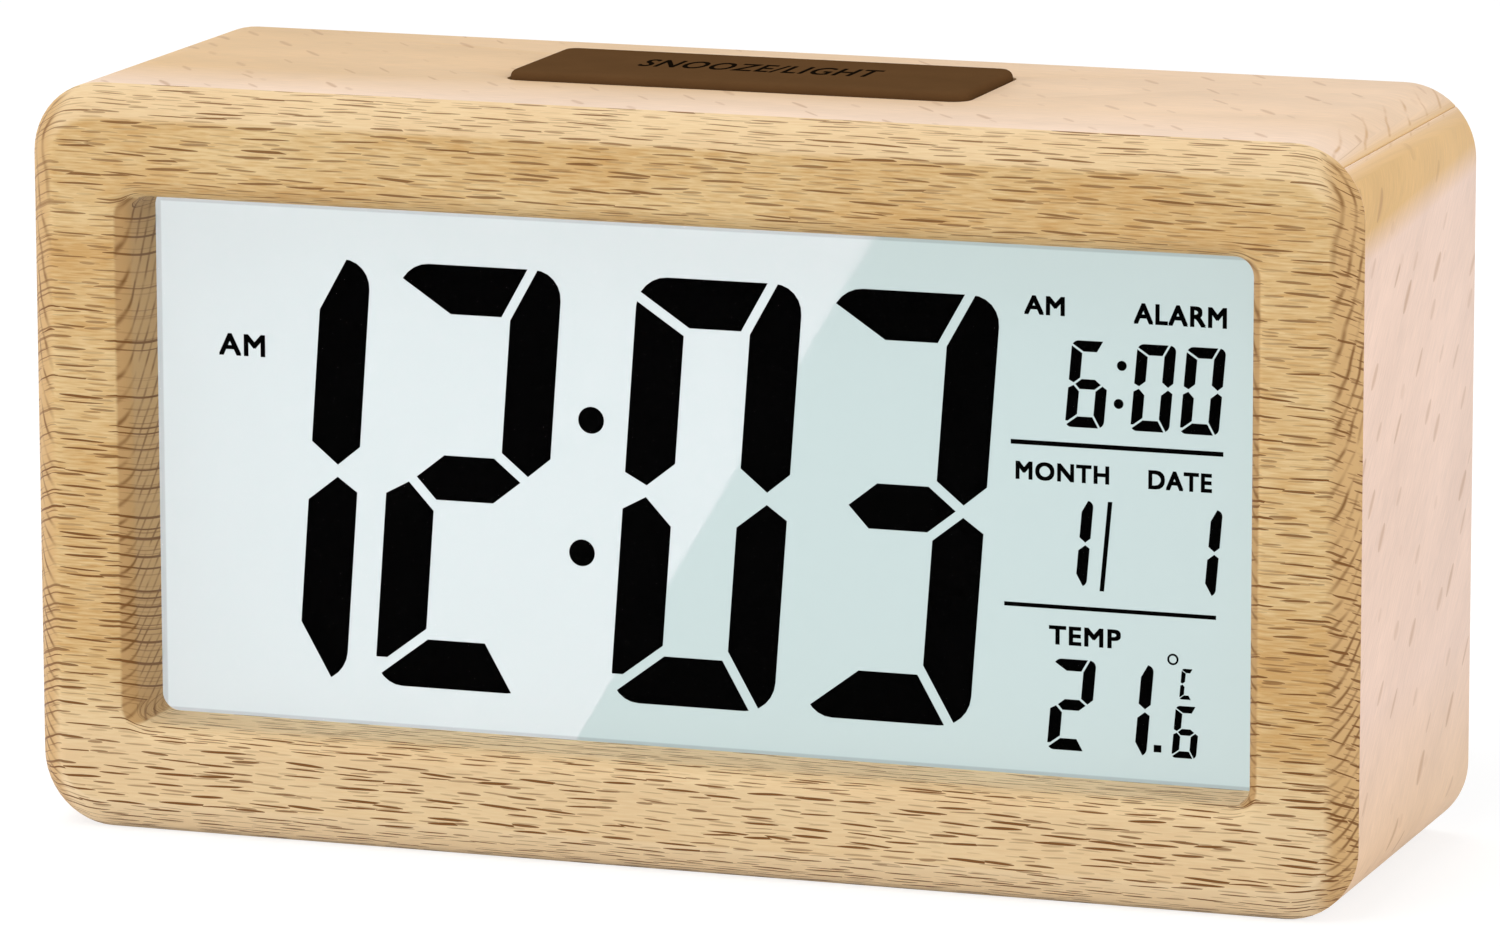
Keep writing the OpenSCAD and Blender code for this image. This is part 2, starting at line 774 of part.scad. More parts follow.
// Push switch standing on z = 0, with the bore that its plunger moves in
module push_switch(travel) {
    difference() {
        translate([-switch_s / 2, -switch_s / 2, 0]) cube([switch_s, switch_s, switch_h]);
        translate([0, 0, switch_h - plunger_in - travel - plunger_gap])
            cylinder(d = plunger_d + 2 * plunger_gap, h = switch_h);
    }
}

module snooze_switch() {
    color("#2B2B2D") translate([0, at(bar_c), snooze_switch_z0]) push_switch(bar_travel);
}

module snooze_plunger() {
    color("#E8E6E0") post([0, bar_c], snooze_switch_z1 - plunger_in, snooze_plunger_z1, plunger_d);
}

// Outline of the battery bay in X and Z, grown by a margin
module bay2(grow) {
    box2([-bay_x - grow, bay_z0 - grow], [bay_x + grow, bay_z1 + grow]);
}

// Spots on a circle about the middle
function ring(count, r) = [for (i = [0 : count - 1]) [r * cos(360 * i / count), r * sin(360 * i / count)]];
// The middle sound hole and the rings round it
sound_holes = concat([[0, 0]], [for (k = [1 : sound_rings]) each ring(ring_add * k, sound_step * k)]);

module rear_cover() {
    color("#4E3620") difference() {
        union() {
            slab(cover_d0, cover_d1) cavity2(fit_gap);
            slab(floor_d0, cover_d1 - cover_t / 2) bay2(bay_wall);
            for (spot = key_screws_at) rod(spot, key_d1, cover_d1 - cover_t / 2, boss_d);
            rod(buzzer_at, buzzer_d0, cover_d1 - cover_t / 2, 2 * buzzer_ring_r);
        }
        slab(floor_d1, cover_d1 + past) bay2(0);
        slab(ledge_d, cover_d1 + past) door2(slide_gap);
        door_notches();
        tab_slots();
        buzzer_hollow();
        for (spot = sound_holes) rod(buzzer_at + spot, cover_d0 - past, cover_d1 + past, sound_d);
        for (spot = keys_at) rod(spot, cover_d0 - past, cover_d1 + past, button_d + 2 * slide_gap);
        slab(cover_d0 - past, cover_d1 + past) translate(grip_at)
            square([grip_w + grip_travel + 2 * slide_gap, grip_h + 2 * slide_gap], center = true);
        for (i = [0 : vent_count - 1]) slab(cover_d0 - past, cover_d1 + past)
            translate(sensor_at - [0, 2 * i * vent_h]) square([vent_w, vent_h], center = true);
        for (spot = cover_screws_at) {
            rod(spot, cover_d0 - past, cover_d1 + past, screw_d + 2 * hole_gap);
            towards_front(spot, cover_d1) translate([0, 0, -sink_h])
                cylinder(d1 = screw_d + 2 * hole_gap, d2 = head_d + 2 * hole_gap, h = sink_h);
        }
        for (spot = key_screws_at)
            rod(spot, key_d1 - past, key_d1 + screw_bite, screw_d + 2 * pilot_gap);
    }
}

// Room in the bay's lower wall for the door's hook tabs to turn, and in the ledge for their roots
module door_notches() {
    notch_w = hook_w + 2 * slide_gap;
    low = bay_z0 - bay_wall - past;
    root = door_z0 - slide_gap;
    for (x = [-1, 1]) {
        left = x * hook_span / 2 - notch_w / 2;
        slab(hook_d0 - hook_t, cover_d0) box2([left, low], [left + notch_w, bay_z0 + past]);
        slab(hook_d0 - hook_t, cover_d1 + past) box2([left, root], [left + notch_w, bay_z0 + past]);
    }
}

// Slots in the bay's floor for the two solder tabs
module tab_slots() {
    for (i = [0, cells - 1]) slab(floor_d0 - past, floor_d1 + past)
        translate([terminal_x(i), cell_z(i)])
            square([contact_t + 2 * pocket_gap, tab_w + 2 * pocket_gap], center = true);
}

// X of the contact plate that ends the row of cells at the first or the last cell
function terminal_x(i) = (i == 0 ? spring_side(i) : -spring_side(i)) * (bay_x - contact_t / 2);

// The buzzer's seat, and the air space that its ledge leaves behind the disc
module buzzer_hollow() {
    rod(buzzer_at, buzzer_d0 - past, buzzer_d1, 2 * buzzer_seat_r);
    rod(buzzer_at, buzzer_d0 - past, cover_d0, buzzer_d - 2 * buzzer_ledge);
}

module cover_screws() {
    color("#B9BCC0") for (spot = cover_screws_at)
        towards_front(spot, cover_d1) flush_screw(cover_t + screw_bite);
}

// Outline of the battery door in X and Z, grown by a gap. Its lower corners are square, to turn freely
module door2(gap) {
    round2([-door_x - gap, door_z0 - gap], [door_x + gap, door_z1 + gap], door_r + gap);
    box2([-door_x - gap, door_z0 - gap], [door_x + gap, door_z1 - door_r]);
}

// The door's plate, whose lower edge is a half round about the axis that it turns on
module door_plate() {
    intersection() {
        slab(door_d0, cover_d1) door2(0);
        translate([0, at(0), 0]) rotate([90, 0, 90]) linear_extrude(2 * door_x, center = true) {
            translate(door_axis) circle(d = door_t);
            box2([door_d0, door_axis.y], [cover_d1, door_z1]);
        }
    }
}

module battery_door() {
    rib_pitch = latch_len / (rib_count + 1);
    hook_top = door_z0 + door_ledge;
    color("#553B23") {
        difference() {
            door_plate();
            for (x = [-1, 1]) slab(door_d0 - past, cover_d1 + past)
                translate([x * latch_w / 2 - slot_w / 2, door_z1 - latch_len])
                    square([slot_w, latch_len + past]);
        }
        for (i = [1 : rib_count]) slab(cover_d1 - rib_out, cover_d1 + rib_out)
            translate([0, door_z1 - i * rib_pitch]) square([rib_len, rib_w], center = true);
        for (x = [-1, 1]) {
            left = x * hook_span / 2 - hook_w / 2;
            slab(hook_d0, hook_d1) box2([left, door_z0 - hook_reach], [left + hook_w, hook_top]);
            slab(hook_d0, door_axis.x) box2([left, door_z0 + slide_gap], [left + hook_w, hook_top]);
        }
    }
}

module battery_cells() {
    color("#3E6FA8") for (i = [0 : cells - 1]) {
        side = spring_side(i);
        foot_x = side * (bay_x - contact_t - contact_spring_len);
        translate([foot_x, at(cell_axis_d), cell_z(i)]) rotate([0, -90 * side, 0]) {
            cylinder(d = cell_d, h = cell_len - nub_len);
            cylinder(d = nub_d, h = cell_len);
        }
    }
}

// A contact plate on one end wall that spans some of the cells
module contact_plate(side, first, last) {
    x = side * (bay_x - contact_t / 2);
    slab(floor_d1, floor_d1 + contact_reach)
        box2([x - contact_t / 2, cell_z(first) - nub_d], [x + contact_t / 2, cell_z(last) + nub_d]);
}

module battery_contacts() {
    color("#C4C6C2") {
        contact_plate(spring_side(0), 0, 0);
        for (i = [0 : cells - 2]) contact_plate(-spring_side(i), i, i + 1);
        contact_plate(-spring_side(cells - 1), cells - 1, cells - 1);
        for (i = [0, cells - 1]) slab(floor_d0 - tab_out, floor_d1 + tab_out)
            translate([terminal_x(i), cell_z(i)]) square([contact_t, tab_w], center = true);
    }
}

module contact_springs() {
    foot_r = nub_d;
    head_r = nub_d / 2;
    height = contact_spring_len - contact_wire;
    color("#B0B2AE") for (i = [0 : cells - 1]) {
        side = spring_side(i);
        translate([side * (bay_x - contact_t - contact_wire / 2), at(cell_axis_d), cell_z(i)])
            rotate([0, -90 * side, 0])
                tube(coil(foot_r, head_r, height, contact_turns), contact_wire, wire_sides);
    }
}

module key_board() {
    color("#1F6B3A") difference() {
        slab(key_d0, key_d1) translate([key_x, key_z]) square([key_w, key_h], center = true);
        for (spot = key_screws_at) rod(spot, key_d0 - past, key_d1 + past, screw_d + 2 * hole_gap);
    }
}

module key_board_screws() {
    color("#B9BCC0") for (spot = key_screws_at)
        towards_back(spot, key_d0) pan_screw(pcb_t + screw_bite - pilot_gap);
}

module key_switches() {
    color("#2B2B2D") for (spot = keys_at) towards_front(spot, key_d1) push_switch(button_travel);
}

// A key: its cap through the cover, and the flange that keeps it in
module button(spot) {
    rod(spot, flange_d0, cover_d1 + button_proud, button_d);
    rod(spot, flange_d0, flange_d1, button_d + 2 * slide_gap + 2 * flange_w);
}

module plunger(spot) {
    rod(spot, switch_d1 - plunger_in, flange_d0, plunger_d);
}

module set_button() {
    color("#2A2017") button(set_at);
}

module alarm_button() {
    color("#2A2017") button(alarm_at);
}

module up_button() {
    color("#2A2017") button(up_at);
}

module down_button() {
    color("#2A2017") button(down_at);
}

module set_plunger() {
    color("#E8E6E0") plunger(set_at);
}

module alarm_plunger() {
    color("#E8E6E0") plunger(alarm_at);
}

module up_plunger() {
    color("#E8E6E0") plunger(up_at);
}

module down_plunger() {
    color("#E8E6E0") plunger(down_at);
}

module alarm_switch_base() {
    channel = [stem_s + grip_travel + 2 * slide_gap, stem_s + 2 * slide_gap];
    base = channel + [2 * stem_s, 2 * stem_s];
    color("#2B2B2D") difference() {
        slab(key_d1, switch_d1) translate(grip_at) square(base, center = true);
        slab(switch_d1 - plunger_in - slide_gap, switch_d1 + past)
            translate(grip_at) square(channel, center = true);
    }
}

module alarm_switch_knob() {
    rest_at = grip_at - [grip_travel / 2, 0];
    color("#2A2017") {
        slab(flange_d0, cover_d1 + button_proud) translate(rest_at) square([grip_w, grip_h], center = true);
        slab(flange_d0, flange_d1) translate(rest_at)
            square([grip_w + 2 * grip_travel, grip_h + 2 * slide_gap + 2 * flange_w], center = true);
        slab(switch_d1 - plunger_in, flange_d1) translate(rest_at) square(stem_s, center = true);
    }
}

module buzzer_disc() {
    color("#C9A24A") rod(buzzer_at, buzzer_d0, buzzer_d1, buzzer_d);
}

module buzzer_ceramic() {
    color("#E9E7E1") rod(buzzer_at, buzzer_d0 - buzzer_t, buzzer_d0, ceramic_d);
}

module temperature_sensor() {
    bead_d = cover_d0 - slide_gap - sensor_d / 2;
    lead_gap = sensor_d / 4;
    wire_d = sensor_d / 6;
    color("#2E4A3A") {
        translate([sensor_at.x, at(bead_d), sensor_at.y]) sphere(d = sensor_d);
        for (x = [-1, 1]) rod(sensor_at + [x * lead_gap, 0], key_d1, bead_d, wire_d);
    }
}

// Lead from the main board back to what it feeds, at a spot in X and Z
module lead(spot, rear_d) {
    rod(spot, pcb_d1, rear_d, lead_d);
}

// A battery lead from a solder tab to the main board
module battery_lead(i) {
    lead([terminal_x(i), cell_z(i)], floor_d0 - tab_out);
}

module battery_plus_lead() {
    color("#B02A22") battery_lead(cells - 1);
}

module battery_minus_lead() {
    color("#1B1B1B") battery_lead(0);
}

module key_ribbon() {
    color("#BFC3C6") slab(pcb_d1, key_d0) translate([key_x, key_z]) square([lead_d, ribbon_w], center = true);
}

module buzzer_leads() {
    color("#7A2020") {
        lead(buzzer_at, buzzer_d0 - buzzer_t);
        lead(buzzer_at + [ceramic_d / 2 + lead_d, 0], buzzer_d0);
    }
}

module snooze_leads() {
    z = bracket_z1 + snooze_pcb_t / 2;
    color("#D8D4C8") for (x = [-1, 1]) lead([x * lead_d, z], bar_c - snooze_pcb_d / 2);
}

front_frame();
top_board();
bottom_board();
left_board();
right_board();
corner_blocks();
display_lens();
front_polariser();
front_glass();
rear_glass();
rear_polariser();
light_guide();
light_reflector();
backlight_lamps();
contact_strip();
display_frame();
main_board();
chip_cover();
clock_crystal();
chip_parts();
display_screws();
snooze_bar();
snooze_bracket();
bracket_screws();
snooze_springs();
snooze_switch_board();
snooze_switch();
snooze_plunger();
rear_cover();
cover_screws();
battery_door();
battery_cells();
battery_contacts();
contact_springs();
key_board();
key_board_screws();
key_switches();
set_button();
alarm_button();
up_button();
down_button();
set_plunger();
alarm_plunger();
up_plunger();
down_plunger();
alarm_switch_base();
alarm_switch_knob();
buzzer_disc();
buzzer_ceramic();
temperature_sensor();
battery_plus_lead();
battery_minus_lead();
key_ribbon();
buzzer_leads();
snooze_leads();
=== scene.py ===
# %% [markdown]
# A wooden alarm clock, dressed for a studio picture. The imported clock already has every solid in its
# real place, so this lesson only adds what a camera sees: soft edges, wood, the display and the light.
# Everything is in metres, with the underside of the clock on the floor and its front towards -Y.

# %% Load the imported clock
import json
import math

import bmesh
import bpy
from mathutils import Matrix, Vector


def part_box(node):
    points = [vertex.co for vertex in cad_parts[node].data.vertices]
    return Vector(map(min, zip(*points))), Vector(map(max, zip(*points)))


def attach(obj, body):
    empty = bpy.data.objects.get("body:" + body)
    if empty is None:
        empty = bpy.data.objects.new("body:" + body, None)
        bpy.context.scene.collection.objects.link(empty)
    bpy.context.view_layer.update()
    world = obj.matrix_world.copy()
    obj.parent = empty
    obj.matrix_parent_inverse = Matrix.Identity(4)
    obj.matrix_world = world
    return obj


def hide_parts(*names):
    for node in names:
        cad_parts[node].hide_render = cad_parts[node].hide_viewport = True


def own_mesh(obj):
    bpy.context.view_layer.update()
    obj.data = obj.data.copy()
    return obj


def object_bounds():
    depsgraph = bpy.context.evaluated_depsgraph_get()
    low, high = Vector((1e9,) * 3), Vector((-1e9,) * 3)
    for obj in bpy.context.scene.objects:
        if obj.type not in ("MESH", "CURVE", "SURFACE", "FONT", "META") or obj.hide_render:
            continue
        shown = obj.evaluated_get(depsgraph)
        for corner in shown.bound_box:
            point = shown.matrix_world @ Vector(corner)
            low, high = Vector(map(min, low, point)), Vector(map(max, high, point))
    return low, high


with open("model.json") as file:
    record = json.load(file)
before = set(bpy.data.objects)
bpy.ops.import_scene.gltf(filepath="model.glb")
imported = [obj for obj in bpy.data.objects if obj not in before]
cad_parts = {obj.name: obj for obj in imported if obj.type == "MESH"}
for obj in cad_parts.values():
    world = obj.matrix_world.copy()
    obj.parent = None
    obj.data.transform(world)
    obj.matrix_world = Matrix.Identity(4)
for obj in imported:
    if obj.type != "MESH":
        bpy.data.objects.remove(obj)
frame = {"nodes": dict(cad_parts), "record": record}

MM = 0.001
nodes = frame["nodes"]
scene = bpy.context.scene
cad_box = [list(corner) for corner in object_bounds()]

# %% [markdown]
# The camera repeats the photograph: a long lens, a little above the clock and to its right. Its turn,
# tilt and distance were found by fitting the corners of the case, so the clock fills the same pixels.

# %% Set up the camera
PHOTO_W = 1500
SENSOR_W = 36.0
FOCAL_PIXELS = 8990.5
VIEW_YAW = math.radians(19.3895)
VIEW_PITCH = math.radians(11.0144)
VIEW_ROLL = math.radians(-0.1455)
VIEW_DISTANCE = 880.544 * MM
NEAREST = 10 * MM
AIM = Vector((0, -1.5, 37)) * MM
AIM_SIDEWAYS = 0.5949 * MM
AIM_UP = -0.8754 * MM

back = Vector((math.sin(VIEW_YAW) * math.cos(VIEW_PITCH),
               -math.cos(VIEW_YAW) * math.cos(VIEW_PITCH),
               math.sin(VIEW_PITCH)))
level = Vector((0, 0, 1)).cross(back).normalized()
turn = Matrix.Rotation(VIEW_ROLL, 3, back)
right = turn @ level
up = turn @ back.cross(level)
eye = AIM + back * VIEW_DISTANCE + right * AIM_SIDEWAYS + up * AIM_UP
camera = bpy.data.objects.new("camera", bpy.data.cameras.new("camera"))
camera.data.sensor_width = SENSOR_W
camera.data.sensor_fit = "HORIZONTAL"
camera.data.lens = FOCAL_PIXELS / PHOTO_W * SENSOR_W
camera.data.clip_start = NEAREST
camera.matrix_world = Matrix.Translation(eye) @ Matrix((right, up, back)).transposed().to_4x4()
scene.collection.objects.link(camera)
scene.camera = camera
print("camera lens", round(camera.data.lens, 1), "mm at", eye[:])

# %% [markdown]
# Colours are written as a painter would pick them from a picture, in sRGB hex, but light adds up in
# linear values. One function turns the first into the second. Another adds a node to any tree, sets
# its properties, and sets or links its inputs, so that every material reads as a short list of nodes.
# The nodes that come up all the time get short names: RANGE, for one, carries a value from one range
# to another, and SMOOTH does the same with soft ends.

# %% Colours
LINE_END = 0.04045        # the sRGB standard: a straight line for the darkest values
LINE_SLOPE = 12.92
CURVE_LIFT = 0.055        # and a power curve above them
CURVE_POWER = 2.4


def paint(hex_colour):
    """Linear colour, with alpha, of an sRGB hex value such as #DDB881."""
    colour = []
    for i in (1, 3, 5):
        share = int(hex_colour[i:i + 2], 16) / 255
        curved = ((share + CURVE_LIFT) / (1 + CURVE_LIFT)) ** CURVE_POWER
        colour.append(share / LINE_SLOPE if share <= LINE_END else curved)
    return colour + [1]


WHITE = paint("#FFFFFF")
print("sanded beech", [round(c, 3) for c in paint("#DDB881")])

# %% Nodes
SHORT = {name: ("ShaderNodeMath", {"operation": name}) for name in (
    "ADD", "SUBTRACT", "MULTIPLY", "DIVIDE", "MULTIPLY_ADD", "ABSOLUTE", "SQRT", "SIGN", "FLOOR", "MODULO",
    "PINGPONG", "MAXIMUM", "MINIMUM", "GREATER_THAN")}
SHORT |= {"VECTOR_" + name: ("ShaderNodeVectorMath", {"operation": name}) for name in (
    "ADD", "SUBTRACT", "MULTIPLY", "DIVIDE", "SCALE", "LENGTH")}
SHORT |= {"MIX_" + name: ("ShaderNodeMix", {"data_type": name}) for name in ("RGBA", "VECTOR", "FLOAT")}
SHORT |= {
    "RANGE": ("ShaderNodeMapRange", {}),
    "SMOOTH": ("ShaderNodeMapRange", {"interpolation_type": "SMOOTHSTEP"}),
    "PLACE": ("ShaderNodeTexCoord", {}),
    "NOISE": ("ShaderNodeTexNoise", {}),
    "BUMP": ("ShaderNodeBump", {}),
    "JOIN": ("ShaderNodeCombineXYZ", {}),
    "SPLIT": ("ShaderNodeSeparateXYZ", {}),
    "MIX_SHADER": ("ShaderNodeMixShader", {}),
    "DIFFUSE": ("ShaderNodeBsdfDiffuse", {}),
    "EMISSION": ("ShaderNodeEmission", {}),
    "OUTPUT": ("ShaderNodeOutputMaterial", {})}
WHOLE = (0.0, 1.0)
TURNED = (1.0, 0.0)


def add(tree, kind, *given, **named):
    """A new node. Plain arguments fill its inputs in order: values, sockets, or nodes for their first output.
    A name with a capital is an input too, with _ for each space. Any other name is a setting."""
    node_type, settings = SHORT.get(kind, (kind, {}))
    node = tree.nodes.new(node_type)
    for name, value in {**settings, **named}.items():
        if name.islower():
            setattr(node, name, value)
    sockets = [socket for socket in node.inputs if socket.enabled]
    by_name = {socket.name: socket for socket in sockets}
    pairs = list(zip(sockets, given))
    pairs += [(by_name[name.replace("_", " ")], value) for name, value in named.items() if not name.islower()]
    for socket, value in pairs:
        if isinstance(value, bpy.types.Node):
            value = next(output for output in value.outputs if output.enabled)
        if isinstance(value, bpy.types.NodeSocket):
            tree.links.new(value, socket)
        else:
            socket.default_value = value
    return node


def new_material(name):
    """An empty material, and the tree that its nodes go into."""
    material = bpy.data.materials.new(name)
    material.use_nodes = True
    material.node_tree.nodes.clear()
    return material, material.node_tree


print(len(SHORT), "short names for nodes")

# %% [markdown]
# A studio picture on white needs a floor that looks white and still carries a soft shadow. The floor
# gives off most of its white by itself to the camera, and to rays that mirror or pass through glass,
# and leaves the rest to the lamps, so only that rest goes dark under the clock. Further away it fades
# to plain white, so no horizon shows. Other rays see plain pale paint, and the world follows the same
# rule.

# %% Floor and world
FLOOR_SIZE = 6.0
FLOOR_GLOW = 0.74
FLOOR_FADE = (0.3, 0.9)   # m from the clock, where the floor turns to plain white
FLOOR_LIT = paint("#9C9C9C")
FLOOR_BOUNCE = paint("#F0EEEA")
WORLD_LIGHT = 0.4


def seen_directly(tree):
    """1 for rays from the camera, a mirror or glass, and 0 for light that only bounces about."""
    path = add(tree, "ShaderNodeLightPath").outputs
    mirrored = add(tree, "MAXIMUM", path["Is Camera Ray"], path["Is Glossy Ray"])
    return add(tree, "MAXIMUM", mirrored, path["Is Transmission Ray"])


def flat_sheet(name, corners, material):
    """A level sheet with four corners that is part of the studio and not of the clock."""
    mesh = bpy.data.meshes.new(name)
    mesh.from_pydata(corners, [], [range(4)])
    mesh.materials.append(material)
    sheet = bpy.data.objects.new(name, mesh)
    scene.collection.objects.link(sheet)
    return sheet


floor_paint, tree = new_material("pale_studio_floor")
glowing = add(tree, "EMISSION", WHITE, FLOOR_GLOW)
shown = add(tree, "ShaderNodeAddShader", add(tree, "DIFFUSE", FLOOR_LIT), glowing)
away = add(tree, "VECTOR_LENGTH", add(tree, "PLACE").outputs["Object"])
far = add(tree, "RANGE", away, *FLOOR_FADE)
faded = add(tree, "MIX_SHADER", far, shown, add(tree, "EMISSION", WHITE, Strength=1.0))
add(tree, "OUTPUT", add(tree, "MIX_SHADER", seen_directly(tree), add(tree, "DIFFUSE", FLOOR_BOUNCE), faded))
half = FLOOR_SIZE / 2
corners = [(-half, -half, 0), (half, -half, 0), (half, half, 0), (-half, half, 0)]
floor = flat_sheet("floor", corners, floor_paint)

scene.world = bpy.data.worlds.new("studio")
scene.world.use_nodes = True
sky = scene.world.node_tree
sky.nodes.clear()
strength = add(sky, "RANGE", seen_directly(sky), *WHOLE, WORLD_LIGHT, 1.0)
add(sky, "ShaderNodeOutputWorld", add(sky, "ShaderNodeBackground", WHITE, strength))
scene.view_settings.view_transform = "Standard"
print("floor", FLOOR_SIZE, "m across, world light", WORLD_LIGHT)

# %% [markdown]
# Four large soft boxes light the clock: one above and in front, one to the right, one low on the left,
# and one behind. Large lamps close by give the gentle edges of shadow that small ones can't.

# %% Soft boxes
SOFT_BOXES = {            # place and size in m, power in W
    "key_box": ((-0.25, -0.85, 1.25), 0.9, 7.3),
    "fill_box": ((-1.25, -0.5, 0.3), 0.8, 8.0),
    "side_box": ((1.2, -0.25, 0.6), 0.8, 7.5),
    "top_box": ((-0.3, 0.6, 1.2), 0.8, 4.5)}
for name, (place, size, power) in SOFT_BOXES.items():
    lamp = bpy.data.lights.new(name, "AREA")
    lamp.size = size
    lamp.energy = power
    lamp_object = bpy.data.objects.new(name, lamp)
    lamp_object.location = place
    lamp_object.rotation_euler = (Vector(place) - AIM).to_track_quat("Z", "Y").to_euler()
    lamp_object.visible_glossy = False
    scene.collection.objects.link(lamp_object)
    print(name, power, "W")

# %% [markdown]
# Beech is known by its flecks: short dark dashes where the rays of the tree come to the surface. One
# way to draw them is to scatter long thin cells and put one lens-shaped dash at the heart of each. A cell
# texture gives the cells, their hearts and a random colour for each, and that colour sets how long,
# thick, tilted and dark the dash is. The group works in millimetres along and across the grain.

# %% Node group for the flecks of beech
FLECK_INPUTS = {"Along": 0, "Across": 0, "Cell Length": 5, "Cell Width": 1.2, "Length": 4, "Thickness": 0.3,
                "Core": 0.5, "Seed": 0}
FLECK_WAVE = 7.0          # mm from one bend of the grain to the next
FLECK_SWAY = 0.35         # mm that the grain sways
FLECK_LEAN = (-0.06, 0.03)    # steepest fall and rise of a dash
FLECK_REACH = (0.22, 0.75)    # shares of the length and thickness that chance gives a dash
FLECK_GIRTH = (0.3, 0.65)


def fleck_group():
    """A node group that draws lens-shaped dashes, one in each cell of a stretched cell texture."""
    group = bpy.data.node_groups.new("beech_flecks", "ShaderNodeTree")
    for name, start in FLECK_INPUTS.items():
        group.interface.new_socket(name, in_out="INPUT", socket_type="NodeSocketFloat").default_value = start
    for name in ("Dash", "Depth"):
        group.interface.new_socket(name, in_out="OUTPUT", socket_type="NodeSocketFloat")
    given = add(group, "NodeGroupInput").outputs
    place = add(group, "JOIN", given["Along"], given["Across"], given["Seed"])
    sway = add(group, "NOISE", place, 1 / FLECK_WAVE, Detail=1.0)
    swayed = add(group, "MULTIPLY_ADD", sway, FLECK_SWAY, given["Across"])
    cell = add(group, "JOIN", given["Cell Length"], given["Cell Width"], 1.0)
    counted = add(group, "VECTOR_DIVIDE", add(group, "JOIN", given["Along"], swayed), cell)
    moved = add(group, "VECTOR_ADD", counted, given["Seed"])
    cells = add(group, "ShaderNodeTexVoronoi", moved, Scale=1.0, Randomness=1.0,
                voronoi_dimensions="2D").outputs
    offset = add(group, "VECTOR_SUBTRACT", moved, cells["Position"])
    real = add(group, "SPLIT", add(group, "VECTOR_MULTIPLY", offset, cell)).outputs
    chance = add(group, "ShaderNodeSeparateColor", cells["Color"]).outputs
    reach = add(group, "RANGE", chance[0], *WHOLE, *FLECK_REACH)
    half_length = add(group, "MULTIPLY", reach, given["Length"])
    rise = add(group, "MULTIPLY", real[0], add(group, "RANGE", chance[1], *WHOLE, *FLECK_LEAN))
    away = add(group, "ABSOLUTE", add(group, "SUBTRACT", real[1], rise))
    share = add(group, "DIVIDE", real[0], half_length)
    taper = add(group, "SUBTRACT", 1.0, add(group, "MULTIPLY", share, share), use_clamp=True)
    thick = add(group, "MULTIPLY", add(group, "RANGE", chance[2], *WHOLE, *FLECK_GIRTH), given["Thickness"])
    edge = add(group, "MULTIPLY", thick, add(group, "SQRT", taper))
    core = add(group, "MULTIPLY", edge, given["Core"])
    add(group, "NodeGroupOutput", add(group, "SMOOTH", away, core, edge, *TURNED), chance[0])
    return group


flecks = fleck_group()
print("node group", flecks.name, "with", len(flecks.nodes), "nodes")

# %% [markdown]
# The front frame is one piece of beech with its grain from left to right. On its face the dashes run
# level. On the bevels and on the sill they have to run on round the edge, so the depth is added to the
# height where the surface looks up, and taken off where it looks down. Where it looks sideways we see the
# end grain, and the rays drop towards the back. The surface's own normal tells the three apart.

# %% Where the grain of the front frame runs
FRONT_Y = cad_box[0][1] / MM
OUTSIDE_X = 61.0          # mm from the middle, between the recess and the outer edge
OUTER_END = (0.3, 0.6)    # how far the outer edge looks sideways where its end grain begins and is full
WALL_END = (0.42, 0.58)   # the same for the recess
WRAP_AT = 0.6             # how far the surface has to look up or down before the grain runs back
END_DROP = 0.55           # how steeply the rays drop across the end grain, just behind the front
END_EASE = 0.025          # how much less that is for each mm of depth
WALL_DROP = 0.5           # share of this drop on the walls of the recess
END_RUN = 1.5             # how much faster than its depth the outer end grain runs through the dashes


def place_in_mm(tree):
    """Object coordinates in millimetres, as x, y and z, and the surface's own normal."""
    where = add(tree, "PLACE").outputs
    place = add(tree, "VECTOR_SCALE", where["Object"], 1 / MM)
    return add(tree, "SPLIT", place).outputs, add(tree, "SPLIT", where["Normal"]).outputs


def frame_grain(tree, at, normal):
    """Millimetres along and across the grain, the share of end grain, and if the spot is on the outside."""
    depth = add(tree, "SUBTRACT", at["Y"], FRONT_Y)
    outside = add(tree, "GREATER_THAN", add(tree, "ABSOLUTE", at["X"]), OUTSIDE_X)
    begins, full = (add(tree, "RANGE", outside, *WHOLE, *ends) for ends in zip(WALL_END, OUTER_END))
    end = add(tree, "SMOOTH", add(tree, "ABSOLUTE", normal["X"]), begins, full)
    wrap = add(tree, "RANGE", normal["Z"], -WRAP_AT, WRAP_AT, -1.0, 1.0)
    rolled = add(tree, "MULTIPLY_ADD", depth, wrap, at["Z"])
    steep = add(tree, "MULTIPLY_ADD", depth, -END_EASE, END_DROP)
    less = add(tree, "RANGE", outside, *WHOLE, WALL_DROP, 1.0)
    fall = add(tree, "MULTIPLY", add(tree, "MULTIPLY", depth, steep), less)
    across = add(tree, "MULTIPLY_ADD", fall, end, rolled)
    run = add(tree, "MULTIPLY", add(tree, "MULTIPLY", end, outside), END_RUN)
    along = add(tree, "MULTIPLY_ADD", depth, run, at["X"])
    return along, across, end, outside


print("front at", FRONT_Y, "mm")
